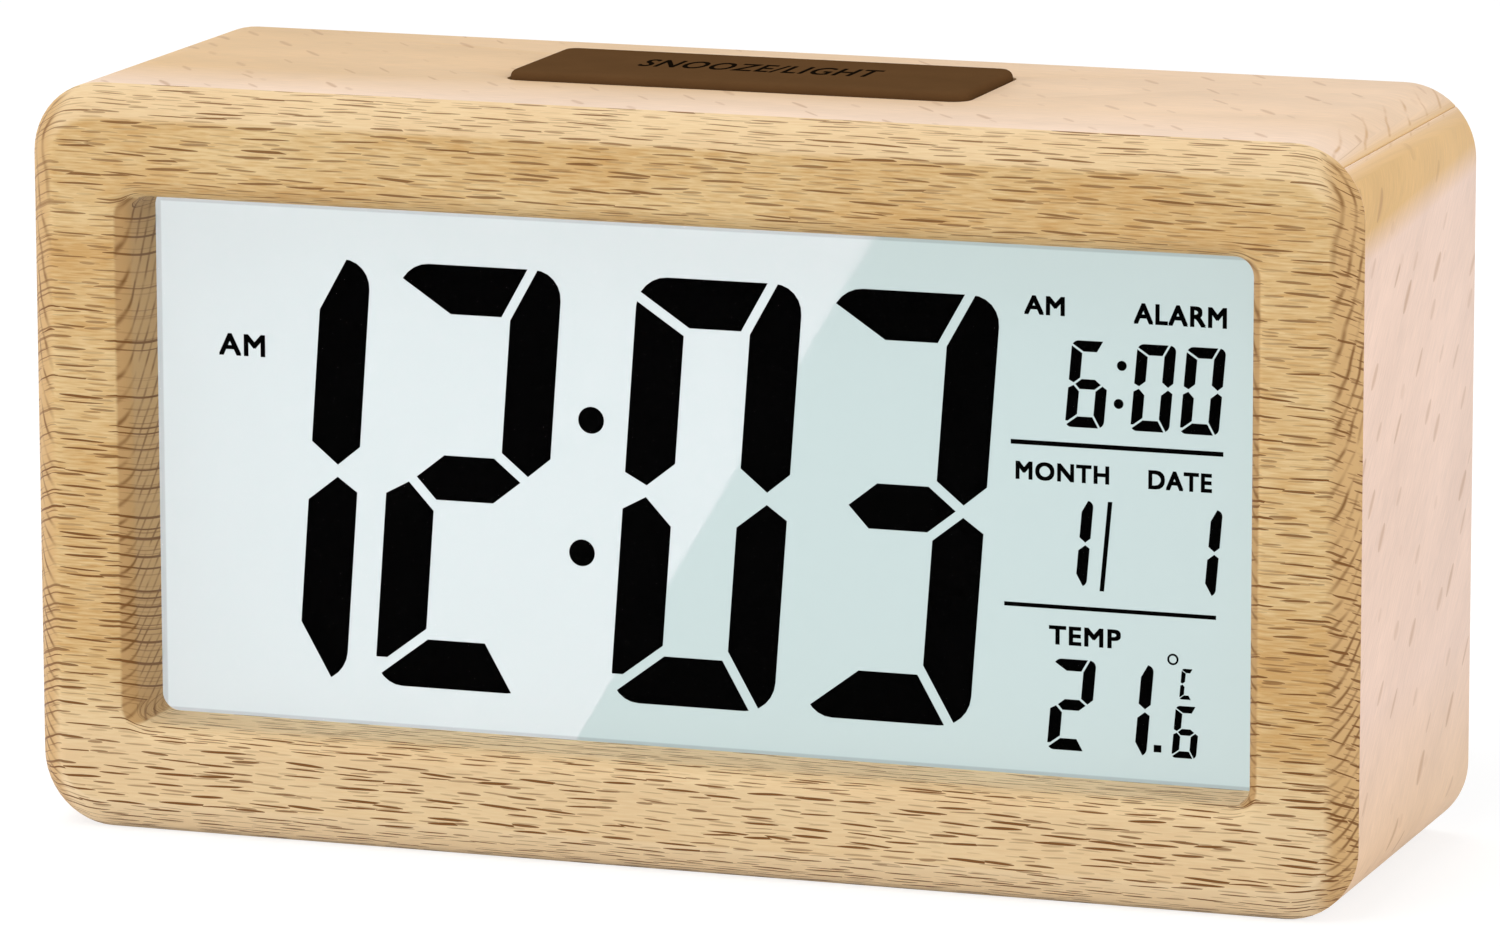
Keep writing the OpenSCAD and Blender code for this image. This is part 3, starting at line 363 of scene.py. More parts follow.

# %% [markdown]
# Under the dashes lies the straw colour of the wood itself. It changes in slow clouds, and finer along
# the fibres. Edges that look up, or down at the foot, get a painted highlight: their colour is mixed paler,
# and so is the wood near the foot, as painted light.

# %% Straw colour of the front frame
MID_Z = 37.2              # mm, half the height of the case
BEECH_TONES = {0.4: "#CAA065", 0.5: "#D5B27C", 0.62: "#E1C492"}
BEECH_LIT = paint("#EDD3AB")
FIBRE = (2.6, 0.22, 1)    # mm along and across the grain
CLOUD = (26, 7, 1)
FIBRE_DETAIL = 3.0
CLOUD_DETAIL = 2.0
FIBRE_SHARE = 0.55        # how much of the tone comes from the fibres, and not from the clouds
LIT_EDGE_FROM = (0.1, 0.3)    # how far a surface looks up, or down at the foot, where the painted highlight on the edge begins
LIT_EDGE_SHARE = 0.6
LIT_LOW_FROM = (17.0, 9.0)    # mm, where the painted light on the wood at the foot begins
LIT_LOW_SHARE = 0.65


def mottle(tree, place, size, detail):
    """Noise whose clouds have a size each way."""
    counted = add(tree, "VECTOR_MULTIPLY", place, [1 / length for length in size])
    return add(tree, "NOISE", counted, Scale=1.0, Detail=detail)


def straw_tone(tree, at, normal, across):
    """The colour of the wood between the dashes, with painted light on edges and foot, and its fibres."""
    spread = add(tree, "JOIN", at["X"], across)
    fibre = mottle(tree, spread, FIBRE, FIBRE_DETAIL)
    cloud = add(tree, "MULTIPLY", mottle(tree, spread, CLOUD, CLOUD_DETAIL), 1 - FIBRE_SHARE)
    tone = add(tree, "ShaderNodeValToRGB", add(tree, "MULTIPLY_ADD", fibre, FIBRE_SHARE, cloud))
    ramp = tone.color_ramp.elements
    ramp.remove(ramp[1])
    for i, (position, colour) in enumerate(BEECH_TONES.items()):
        stop = ramp.new(position) if i else ramp[0]
        stop.position = position
        stop.color = paint(colour)
    # Painted light: where the surface looks up on the upper half, or down on the lower half, and near the
    # foot, the colour is mixed towards a paler one.
    half = add(tree, "SIGN", add(tree, "SUBTRACT", at["Z"], MID_Z))
    edge = add(tree, "RANGE", add(tree, "MULTIPLY", half, normal["Z"]), *LIT_EDGE_FROM, 0.0, LIT_EDGE_SHARE)
    low = add(tree, "RANGE", at["Z"], *LIT_LOW_FROM, 0.0, LIT_LOW_SHARE)
    painted_light = add(tree, "ADD", edge, low, use_clamp=True)
    return add(tree, "MIX_RGBA", painted_light, tone, BEECH_LIT), fibre


print("straw colours", list(BEECH_TONES.values()))

# %% [markdown]
# A sawn end shows the growth rings as thin brown lines. They waver, and fade in and out along their
# length. On the outer edge they lie close together. The walls of the recess are cut nearer the heart of
# the board, so there the rings are wider apart, steeper and softer.

# %% Growth rings
OUTER_RINGS = (-0.87, 0.0056, 1.05, 0.26)   # slant at the foot, its change with height, spacing and line, mm
WALL_RINGS = (-1.97, 0.012, 2.2, 0.5)
RING_SWAY = 0.9           # mm
RING_WAVE = 5.0           # mm from one bend of a ring to the next
RING_GAP = 3.0            # mm, how long a ring shows or hides
RING_SHOWN = (0.3, 0.6)   # values of the noise where a ring begins to show and shows in full


def ring_lines(tree, along, across, slant, bend, spacing, fade_out):
    """Thin wavering lines at a spacing: growth rings cut across, fading in and out along their length."""
    spot = add(tree, "JOIN", along, across)
    swayed = add(tree, "MULTIPLY_ADD", add(tree, "NOISE", spot, 1 / RING_WAVE, Detail=1.0), RING_SWAY, across)
    rate = add(tree, "MULTIPLY_ADD", along, bend, slant)
    near = add(tree, "PINGPONG", add(tree, "MULTIPLY_ADD", along, rate, swayed), spacing / 2)
    line = add(tree, "SMOOTH", near, 0.0, fade_out, *TURNED)
    gaps = add(tree, "RANGE", add(tree, "NOISE", spot, 1 / RING_GAP), *RING_SHOWN)
    return add(tree, "MULTIPLY", line, gaps)


print("rings every", OUTER_RINGS[2], "mm outside and", WALL_RINGS[2], "mm in the recess")

# %% [markdown]
# Now the layers go on one another as oil brings them out: straw colour, darker sawn ends with their
# rings, darker still as painted shade on the walls of the recess, and over all two kinds of dashes, a few
# bold and many faint. They are darker towards the foot. The dashes are open pores, so they also sink a
# little below the surface.

# %% Oiled beech for the front frame
BEECH_FLECK = paint("#764B1C")
BEECH_END = paint("#CDA773")
BEECH_END_SHADED = paint("#BC9664")
BEECH_RING = paint("#80582B")
# Real pores are finer still. At this size they don't flicker in a small picture.
BOLD = {"Cell_Length": 4.8, "Cell_Width": 0.9, "Length": 3.6, "Thickness": 0.25, "Core": 0.75, "Seed": 3.7}
FAINT = {"Cell_Length": 3.4, "Cell_Width": 0.6, "Length": 2.4, "Thickness": 0.22, "Core": 0.6, "Seed": 11.3}
BOLD_DEPTH = (0.5, 1.0)
FAINT_DEPTH = (0.05, 0.45)
DASH_HEIGHT = (66.0, 8.0)     # mm, from the upper rail to the lower one
DASH_DEPTH = (0.93, 1.35)     # how dark the dashes are at these heights
BEECH_GLOSS = (0.44, 0.62)


def dashes(tree, along, across, depth, **sizes):
    """Dashes of one kind along a grain, each as dark as chance makes it, between two depths."""
    drawn = add(tree, "ShaderNodeGroup", node_tree=flecks, Along=along, Across=across, **sizes).outputs
    return add(tree, "MULTIPLY", drawn["Dash"], add(tree, "RANGE", drawn["Depth"], *WHOLE, *depth))


def surfaced(material, **looks):
    """The material, with one principled shader that has these looks as its surface."""
    shader = add(material.node_tree, "ShaderNodeBsdfPrincipled", **looks)
    add(material.node_tree, "OUTPUT", Surface=shader)
    return material


def oiled_beech():
    """Flat-sawn beech, sanded and oiled: a warm straw colour, crowded dark dashes and a satin gloss."""
    material, tree = new_material("oiled_beech")
    at, normal = place_in_mm(tree)
    along, across, end, outside = frame_grain(tree, at, normal)
    tone, fibre = straw_tone(tree, at, normal, across)
    crowd = add(tree, "MAXIMUM", dashes(tree, along, across, BOLD_DEPTH, **BOLD),
                dashes(tree, along, across, FAINT_DEPTH, **FAINT))
    strength = add(tree, "RANGE", at["Z"], *DASH_HEIGHT, *DASH_DEPTH)
    dashed = add(tree, "MULTIPLY", crowd, strength, use_clamp=True)
    rings = add(tree, "MIX_FLOAT", outside, ring_lines(tree, at["Z"], at["Y"], *WALL_RINGS),
                ring_lines(tree, at["Z"], at["Y"], *OUTER_RINGS))
    # Painted shade: the sawn ends on the walls of the recess take a darker colour than those on the outer
    # edge.
    sawn = add(tree, "MIX_RGBA", outside, BEECH_END_SHADED, BEECH_END)
    straw = add(tree, "MIX_RGBA", end, tone, sawn)
    ringed = add(tree, "MIX_RGBA", add(tree, "MULTIPLY", rings, end), straw, BEECH_RING)
    flecked = add(tree, "MIX_RGBA", dashed, ringed, BEECH_FLECK)
    rough = add(tree, "RANGE", fibre, *WHOLE, *BEECH_GLOSS)
    relief = add(tree, "SUBTRACT", fibre, dashed)
    bump = add(tree, "BUMP", Height=relief, Strength=0.35, Distance=0.06 * MM)
    return surfaced(material, Base_Color=flecked, Roughness=rough, Normal=bump, Specular_IOR_Level=0.35)


beech = oiled_beech()
print(beech.name, "has", len(beech.node_tree.nodes), "nodes")

# %% [markdown]
# The four boards of the case are a paler beech, cut so that the rays show as short soft streaks, which
# lean on top and on the sides. The sides are pinkish, with a cream foot, and turn tan where they round
# into the top. There the saw has cut across the growth rings, and a few show beside the mitre.

# %% Colours of the boards
BOARD_LEFT = paint("#D7B486")
BOARD_RIGHT = paint("#E5C7A9")
BOARD_FRONT = paint("#EBD1BB")
BOARD_SIDE = paint("#EBCFBF")
BOARD_TAN = paint("#DDB67F")
BOARD_FOOT = paint("#E4C4A4")
FRONT_DEPTH = (2.0, 16.0)     # mm behind the front, where the pale front of the top ends
TAN_HEIGHT = (63.0, 66.0)     # mm, where the pink of the sides turns tan
TAN_RISE = 0.07               # how much higher that lies for each mm towards the back
FOOT_HEIGHT = (20.0, 5.0)     # mm, where the pink turns to cream towards the foot


def board_colour(tree, at, side):
    """The slow change of colour over the boards: across and along the top, and up the sides."""
    reach = add(tree, "RANGE", at["X"], cad_box[0][0] / MM, cad_box[1][0] / MM)
    ground = add(tree, "MIX_RGBA", reach, BOARD_LEFT, BOARD_RIGHT)
    front = add(tree, "RANGE", at["Y"], *[FRONT_Y + depth for depth in FRONT_DEPTH])
    top = add(tree, "MIX_RGBA", front, BOARD_FRONT, ground)
    raised = add(tree, "MULTIPLY_ADD", add(tree, "SUBTRACT", at["Y"], FRONT_Y), -TAN_RISE, at["Z"])
    tan = add(tree, "RANGE", raised, *TAN_HEIGHT)
    pink = add(tree, "MIX_RGBA", add(tree, "RANGE", at["Z"], *FOOT_HEIGHT), BOARD_SIDE, BOARD_FOOT)
    return add(tree, "MIX_RGBA", side, top, add(tree, "MIX_RGBA", tan, pink, BOARD_TAN))


print("pink sides turn tan at", TAN_HEIGHT, "mm")

# %% Pale beech for the boards
BOARD_STREAK = paint("#AC825F")
BOARD_RING = paint("#B98A55")
SIDE_FROM = (0.55, 0.85)      # how far a board looks sideways where it counts as a side
REAR_FROM = 0.7               # how far it looks back where it counts as the rear edge
TOP_LEAN = math.radians(51)   # how far the streaks on top lean from the board's length
BOARD_FIBRE = (3, 0.3, 1)     # mm along and across the grain
BOARD_CLOUD = (30, 9, 1)
GRAIN_SUM = (0.7, 1.3)        # fibres and clouds together, and the shade that they give
GRAIN_SHADE = (0.89, 1.07)
STREAKS = {               # on top and on a side, mm
    "Cell_Length": (7.0, 9.5), "Cell_Width": (5.5, 5.0), "Thickness": (0.95, 1.45)}
STREAK_LENGTH = 2.8
STREAK_CORE = 0.1
STREAK_SEED = 23.9
STREAK_DEPTH = (0.1, 0.55)
CORNER_SIDEWAYS = (0.2, 0.4)      # how far the rounded corner looks sideways and up where its rings show
CORNER_UPWARD = (0.69, 0.73)
CORNER_RINGS = (0.35, 0.004, 2.6, 0.26)
CORNER_DEPTH = 0.6
BOARD_GLOSS = (0.5, 0.66)


def pale_beech():
    """Quarter-sawn beech under thin oil: a pale pinkish cream, faint streaks and a dull satin gloss."""
    material, tree = new_material("pale_beech")
    at, normal = place_in_mm(tree)
    sideways = add(tree, "ABSOLUTE", normal["X"])
    side = add(tree, "RANGE", sideways, *SIDE_FROM)
    diagonal = add(tree, "JOIN", add(tree, "ADD", at["Y"], at["Z"]), add(tree, "SUBTRACT", at["Z"], at["Y"]))
    lean = add(tree, "VECTOR_SCALE", diagonal, math.sqrt(0.5))
    behind = add(tree, "GREATER_THAN", normal["Y"], REAR_FROM)
    flat, upright = (add(tree, "JOIN", at["X"], at[axis]) for axis in "YZ")
    level = add(tree, "MIX_VECTOR", behind, flat, upright)
    spread = add(tree, "MIX_VECTOR", side, level, lean)
    slanted = add(tree, "ShaderNodeVectorRotate", Vector=level, Angle=TOP_LEAN, rotation_type="Z_AXIS")
    way = add(tree, "SPLIT", add(tree, "MIX_VECTOR", side, slanted, lean)).outputs
    fibre = mottle(tree, spread, BOARD_FIBRE, FIBRE_DETAIL)
    grain = add(tree, "ADD", fibre, mottle(tree, spread, BOARD_CLOUD, CLOUD_DETAIL))
    shade = add(tree, "RANGE", grain, *GRAIN_SUM, *GRAIN_SHADE)
    toned = add(tree, "VECTOR_SCALE", board_colour(tree, at, side), shade)
    sizes = {name: add(tree, "RANGE", side, *WHOLE, *pair) for name, pair in STREAKS.items()}
    faint = dashes(tree, way["X"], way["Y"], STREAK_DEPTH, Length=STREAK_LENGTH, Core=STREAK_CORE,
                   Seed=STREAK_SEED, **sizes)
    streaked = add(tree, "MIX_RGBA", faint, toned, BOARD_STREAK)
    upward = add(tree, "ABSOLUTE", normal["Z"])
    corner = add(tree, "MULTIPLY", add(tree, "RANGE", sideways, *CORNER_SIDEWAYS),
                 add(tree, "RANGE", upward, *CORNER_UPWARD))
    rings = add(tree, "MULTIPLY", ring_lines(tree, at["Y"], at["X"], *CORNER_RINGS), corner)
    ringed = add(tree, "MIX_RGBA", add(tree, "MULTIPLY", rings, CORNER_DEPTH), streaked, BOARD_RING)
    rough = add(tree, "RANGE", fibre, *WHOLE, *BOARD_GLOSS)
    bump = add(tree, "BUMP", Height=fibre, Strength=0.25, Distance=0.05 * MM)
    return surfaced(material, Base_Color=ringed, Roughness=rough, Normal=bump, Specular_IOR_Level=0.3)


pale = pale_beech()
print(pale.name, "has", len(pale.node_tree.nodes), "nodes")

# %% [markdown]
# Plastic parts leave the mould with the mould's own surface. A spark-eroded mould gives a fine even
# grain that breaks up reflections, a polished one leaves only slow waves. One function makes both, from
# the colour, the gloss and the size of the grain, for the brown bar, the cover, the keys and what is inside.

# %% Moulded plastics
# The real grain is nearer 0.1 mm. It is drawn coarser, so that it doesn't flicker in a small picture.
PLASTICS = {              # finish, colour, roughness, grain in mm and shine
    "brown_plastic": ("brown_moulded_abs", "#5D4228", 0.7, 0.35, 0.0),
    "cover_plastic": ("dark_brown_moulded_abs", "#4C3520", 0.6, 0.4, 0.3),
    "button_plastic": ("black_brown_moulded_abs", "#2A201A", 0.45, 0.3, 0.4),
    "black_plastic": ("black_moulded_nylon", "#302F2E", 0.5, 0.3, 0.4),
    "white_plastic": ("white_moulded_abs", "#EDEDEA", 0.5, 0.35, 0.4),
    "contact_rubber": ("layered_silicone_rubber", "#C88F99", 0.75, 0.3, 0.2),
    "red_lead": ("red_wire_insulation", "#B02822", 0.45, 0.5, 0.4),
    "black_lead": ("black_wire_insulation", "#1C1C1C", 0.45, 0.5, 0.4),
    "grey_lead": ("grey_wire_insulation", "#C2C3C4", 0.45, 0.5, 0.4),
    "light_guide": ("frosted_acrylic_guide", "#F3F5F5", 0.3, 0.8, 0.5),
    "ceramic": ("silvered_piezo_ceramic", "#E6E3DD", 0.35, 0.2, 0.5)}
PLASTIC_CLOUD = 5 * MM
PLASTIC_TONES = (0.88, 1.12)
PLASTIC_GLOSS = 0.06      # how far the roughness goes up and down
PIT_DEPTH = 0.15          # share of the grain


def scaled(colour, share):
    """The same colour, lighter or darker."""
    return [part * share for part in colour[:3]] + [1]


def moulded_plastic(name, colour, roughness, grain, shine):
    """Moulded plastic: even colour with slow clouds, and a pitted grain of the given size in mm."""
    material, tree = new_material(name)
    place = add(tree, "PLACE").outputs["Object"]
    pits = add(tree, "ShaderNodeTexVoronoi", place, 1 / (grain * MM))
    cloud = add(tree, "NOISE", place, 1 / PLASTIC_CLOUD, Detail=4.0)
    tone = add(tree, "MIX_RGBA", cloud, *[scaled(paint(colour), share) for share in PLASTIC_TONES])
    rough = add(tree, "RANGE", pits, *WHOLE, roughness - PLASTIC_GLOSS, roughness + PLASTIC_GLOSS)
    bump = add(tree, "BUMP", Height=pits, Strength=0.3, Distance=PIT_DEPTH * grain * MM)
    return surfaced(material, Base_Color=tone, Roughness=rough, Normal=bump, Specular_IOR_Level=shine)


finishes = {"beech_front": beech, "beech_boards": pale}
for slot, looks in PLASTICS.items():
    finishes[slot] = moulded_plastic(*looks)
    print(slot, "is", looks[0])

# %% [markdown]
# Metal has no colour of its own beneath the shine: the shine itself is tinted. Drawing a wire or rolling
# a sheet leaves fine scratches one way, which a noise stretched along that way imitates.

# %% Metals
METALS = {                # finish, colour, roughness, and how many scratches cross a centimetre each way
    "plated_steel": ("zinc_plated_steel", "#C9CACC", 0.3, (8.0, 60.0, 60.0)),
    "spring_steel": ("drawn_spring_wire", "#B4B6B8", 0.25, (40.0, 40.0, 8.0)),
    "brass": ("rolled_brass", "#CBA95A", 0.28, (10.0, 60.0, 60.0))}
CENTIMETRE = 10 * MM
METAL_DARK = 0.8
METAL_GLOSS = (-0.08, 0.12)   # how far the roughness goes down and up


def scratched_metal(name, colour, roughness, scratches):
    """Bare metal, plated, drawn or rolled: a tinted mirror, blurred by its fine scratches."""
    material, tree = new_material(name)
    place = add(tree, "PLACE").outputs["Object"]
    lines = mottle(tree, place, [CENTIMETRE / count for count in scratches], detail=2.0)
    tone = add(tree, "MIX_RGBA", lines, scaled(paint(colour), METAL_DARK), paint(colour))
    rough = add(tree, "RANGE", lines, *WHOLE, *[roughness + change for change in METAL_GLOSS])
    bump = add(tree, "BUMP", Height=lines, Strength=0.15, Distance=0.02 * MM)
    return surfaced(material, Base_Color=tone, Metallic=1.0, Roughness=rough, Normal=bump)


for slot, looks in METALS.items():
    finishes[slot] = scratched_metal(*looks)
    print(slot, "is", looks[0])

# %% [markdown]
# Two finishes inside have a pattern of their own. A circuit board is lacquered green, lighter where the
# copper runs beneath. A cell wears a printed sleeve, dark with a copper-coloured band at the plus end,
# and its bare steel ends show. The middle cell lies the other way round.

# %% Circuit board and cells
RESIST_DARK = paint("#14572F")
RESIST_LIGHT = paint("#2C7D49")
TRACK_PITCH = 3 * MM
TRACK_EDGE = (0.06, 0.09)     # shares of the pitch, where a track ends
CELL_PITCH = 11.0         # mm from one cell to the next
CELL_FLOOR = 9.5          # mm, the lowest cell's lower side
CELL_BAND = (11.0, 11.6)  # mm from the middle, where the sleeve's copper-coloured end begins
CELL_CAP = (22.1, 22.2)   # mm from the middle, where the bare steel begins
SLEEVE_DARK = paint("#26303F")
SLEEVE_COPPER = paint("#B98A4E")
CELL_STEEL = paint("#C6C7C8")
SLEEVE_GLOSS = (0.2, 0.5)
SCUFF = 1.5 * MM


def solder_resist():
    """Green solder resist: glossy lacquer whose tone lightens where copper tracks run beneath it."""
    material, tree = new_material("green_solder_resist")
    place = add(tree, "PLACE").outputs["Object"]
    tracks = add(tree, "ShaderNodeTexVoronoi", place, 1 / TRACK_PITCH, feature="DISTANCE_TO_EDGE")
    copper = add(tree, "RANGE", tracks, *TRACK_EDGE, *TURNED)
    tone = add(tree, "MIX_RGBA", copper, RESIST_DARK, RESIST_LIGHT)
    bump = add(tree, "BUMP", Height=copper, Strength=0.4, Distance=0.04 * MM)
    return surfaced(material, Base_Color=tone, Roughness=0.3, Normal=bump)


def cell_sleeve():
    """Printed shrink sleeve: glossy dark film, a copper-coloured band at the plus end, bare steel caps."""
    material, tree = new_material("printed_shrink_sleeve")
    at, _ = place_in_mm(tree)
    row = add(tree, "DIVIDE", add(tree, "SUBTRACT", at["Z"], CELL_FLOOR), CELL_PITCH)
    odd = add(tree, "MODULO", add(tree, "FLOOR", row), 2.0)
    along = add(tree, "MULTIPLY", at["X"], add(tree, "RANGE", odd, *WHOLE, 1.0, -1.0))
    band = add(tree, "RANGE", along, *CELL_BAND)
    bare = add(tree, "RANGE", add(tree, "ABSOLUTE", at["X"]), *CELL_CAP)
    sleeve = add(tree, "MIX_RGBA", band, SLEEVE_DARK, SLEEVE_COPPER)
    shown = add(tree, "MIX_RGBA", bare, sleeve, CELL_STEEL)
    scuffs = add(tree, "NOISE", add(tree, "PLACE").outputs["Object"], 1 / SCUFF, Detail=5.0)
    rough = add(tree, "RANGE", scuffs, *WHOLE, *SLEEVE_GLOSS)
    return surfaced(material, Base_Color=shown, Metallic=bare, Roughness=rough)


finishes["circuit_board"] = solder_resist()
finishes["cell_jacket"] = cell_sleeve()
print("finishes so far:", len(finishes))

# %% [markdown]
# The display is a stack of clear sheets. In front is the lens, coated so that it hardly mirrors. Rays
# from lamps, and light that bounces about, pass it straight, and only the camera and mirrored rays see
# it as glass. Behind it lies the polarising film, smooth enough to mirror the room, with the black
# figures just in front of it. Most of its pale grey is painted light: it glows, so that the shade of the
# deep window stays faint, and near the window's edge that glow is dimmed as painted shade, most of all
# under the upper edge.

# %% Lens and glass
LENS_IOR = 1.01           # an anti-glare coat leaves hardly any step between air and acrylic
GLASS_IOR = 1.5
GLASS_TINT = paint("#E4EFEF")
SMEAR = 20 * MM           # size of a smear


def clear_sheet(name, colour, ior, smear):
    """A clear sheet that lets lamps through, with faint smears in its gloss."""
    material, tree = new_material(name)
    smears = add(tree, "NOISE", add(tree, "PLACE").outputs["Object"], 1 / SMEAR, Detail=4.0)
    rough = add(tree, "RANGE", smears, *WHOLE, 0.0, smear)
    glass = add(tree, "ShaderNodeBsdfPrincipled", Base_Color=colour, Roughness=rough, IOR=ior,
                Transmission_Weight=1.0)
    path = add(tree, "ShaderNodeLightPath").outputs
    open_air = add(tree, "ShaderNodeBsdfTransparent")
    bounced = add(tree, "MIX_SHADER", path["Is Diffuse Ray"], glass, open_air)
    add(tree, "OUTPUT", add(tree, "MIX_SHADER", path["Is Shadow Ray"], bounced, open_air))
    return material


finishes["clear_lens"] = clear_sheet("coated_clear_acrylic", WHITE, LENS_IOR, smear=0.0)
finishes["display_glass"] = clear_sheet("display_glass", GLASS_TINT, GLASS_IOR, smear=0.03)
print("lens with an IOR of", LENS_IOR, "and glass of", GLASS_IOR)

# %% Polarising film
FILM_GREY = paint("#677474")
FILM_LIGHT = paint("#CBDBDB")
FILM_PAINTED_GLOW = 0.77          # strength of the film's painted glow
FILM_MOTTLE = 9 * MM
FILM_TONES = (0.985, 1.015)
FILM_GLOSS = (0.015, 0.035)
EDGE_SHADE = 0.18         # mm, how far the painted shade from the window's edge reaches
TOP_SHADE = 1.5           # mm more under the upper edge
SHADE_LEFT = 0.7          # share of the painted glow that is left there
WINDOW = (57.0, 26.3, 1.8)      # half width, half height and corner radius, mm


def polarising_film():
    """Grey polarising film: smooth and mirror-like, a cool pale grey with the faintest mottle, a painted glow
    and painted shade along the window's edge.
    """
    material, tree = new_material("polarising_film")
    at, _ = place_in_mm(tree)
    # Painted shade: the glow is dimmed within a small distance of the window's edge, further under the upper
    # edge.
    across = add(tree, "SUBTRACT", WINDOW[0], add(tree, "ABSOLUTE", at["X"]))
    above = add(tree, "SUBTRACT", MID_Z + WINDOW[1] - TOP_SHADE, at["Z"])
    below = add(tree, "SUBTRACT", at["Z"], MID_Z - WINDOW[1])
    nearest = add(tree, "MINIMUM", add(tree, "MINIMUM", above, below), across)
    clear = add(tree, "SMOOTH", nearest, 0.0, EDGE_SHADE)
    painted_glow = add(tree, "MIX_RGBA", clear, scaled(FILM_LIGHT, SHADE_LEFT), FILM_LIGHT)
    mottled = add(tree, "NOISE", add(tree, "PLACE").outputs["Object"], 1 / FILM_MOTTLE, Detail=3.0)
    tone = add(tree, "MIX_RGBA", mottled, *[scaled(FILM_GREY, share) for share in FILM_TONES])
    rough = add(tree, "RANGE", mottled, *WHOLE, *FILM_GLOSS)
    return surfaced(material, Base_Color=tone, Roughness=rough, IOR=GLASS_IOR, Emission_Color=painted_glow,
                    Emission_Strength=FILM_PAINTED_GLOW)


finishes["display_film"] = polarising_film()
slot_of = {entry["node"]: entry["material_slot"] for entry in frame["record"]["subparts"]}
for name, node in nodes.items():
    node.data.materials.clear()
    node.data.materials.append(finishes[slot_of[name]])
print(len(nodes), "solids have", len(finishes), "finishes")

# %% [markdown]
# Every piece that the lesson makes ends in the same way: its mesh is closed with the faces outwards, gets
# one material, and rides on the body that moves it. Two helpers do that for all of them. Flat faces meet
# in a sharp edge only where they turn by more than an angle, so curves stay smooth.

# %% Helpers for finished pieces
SHARP = 30                # degrees, the angle from which an edge stays sharp


def closed_mesh(name, shape):
    """The mesh of a shape under work, with its faces outwards."""
    bmesh.ops.recalc_face_normals(shape, faces=shape.faces)
    mesh = bpy.data.meshes.new(name)
    shape.to_mesh(mesh)
    shape.free()
    return mesh


def finished_piece(name, mesh, material, body, sharp=SHARP):
    """A finished object at the origin that rides on a body and shows one material."""
    mesh.materials.clear()
    mesh.materials.append(material)
    mesh.shade_smooth()
    mesh.set_sharp_from_angle(angle=math.radians(sharp))
    piece = bpy.data.objects.new(name, mesh)
    scene.collection.objects.link(piece)
    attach(piece, body)
    print(name, len(mesh.polygons), "faces on", body)
    return piece


print("edges stay sharp from", SHARP, "degrees")

# %% [markdown]
# The front frame would be milled from one board: a window with a rounded edge, a bevel all round with a
# slight belly, and a tongue behind that the boards close on. All of these are loops round the same
# middle, so the frame is a loft: each loop is a rounded rectangle at its own depth, and quads join it
# to the next. Two extra loops on the flat keep the shading from creeping in from the curves.

# %% Loops and arcs
CORNER_STEPS = 12
SMALLEST_R = 0.01         # mm


def grown(loop, by, depth):
    """A loop's half width, half height and corner radius grown by an offset, and its depth."""
    return loop[0] + by, loop[1] + by, max(loop[2] + by, SMALLEST_R), depth


def loop_points(half_w, half_h, radius, depth):
    """Points round one loop, in metres: a quarter circle at each corner, straight in between."""
    points = []
    for quarter, (side, rise) in enumerate(((1, 1), (-1, 1), (-1, -1), (1, -1))):
        for step in range(CORNER_STEPS + 1):
            angle = (quarter + step / CORNER_STEPS) * math.pi / 2
            points.append(Vector((side * (half_w - radius) + radius * math.cos(angle), FRONT_Y + depth,
                                  MID_Z + rise * (half_h - radius) + radius * math.sin(angle))) * MM)
    return points


def arc_between(start, end, radius, steps):
    """Points on an arc that bulges to the right of the way from start to end, both ends left out."""
    chord = end - start
    lift = math.sqrt(radius ** 2 - chord.length_squared / 4)
    middle = (start + end) / 2 + Vector((-chord.y, chord.x)).normalized() * lift
    first = math.atan2(start.y - middle.y, start.x - middle.x)
    sweep = 2 * math.asin(chord.length / 2 / radius)
    angles = [first + sweep * i / steps for i in range(1, steps)]
    return [middle + radius * Vector((math.cos(angle), math.sin(angle))) for angle in angles]


print("loops have", 4 * (CORNER_STEPS + 1), "points")

# %% Loft the front frame
ARC_STEPS = 8
CASE = (67.5, 37.2, 7.2)        # half width, half height and corner radius, mm
TONGUE = (62.5, 32.2, 0.3)
RECESS = 8.0              # mm, the depth of the window and of the tongue's end
WINDOW_ROUND = 2.2        # mm, radius of the window's edge
ARRIS_SINK = 0.05         # mm that this radius is sunk, so that a faint arris stays
BEVEL_W = 3.2             # mm, width of the bevel and radius of its belly
BEVEL_R = 5.0
LIP = 2.8                 # mm, where the boards meet the frame
SEAM = 0.12               # mm, the fine groove there
SUPPORT = 0.4             # mm from a curve to its extra loop
FRAME_SHARP = 38          # degrees


def lofted(name, loops):
    """A closed mesh of quads through rings of points that all have the same count."""
    shape = bmesh.new()
    rings = [[shape.verts.new(point) for point in loop] for loop in loops]
    count = len(loops[0])
    for ring, following in zip(rings, rings[1:] + rings[:1]):
        for i in range(count):
            j = (i + 1) % count
            shape.faces.new((ring[i], ring[j], following[j], following[i]))
    return closed_mesh(name, shape)


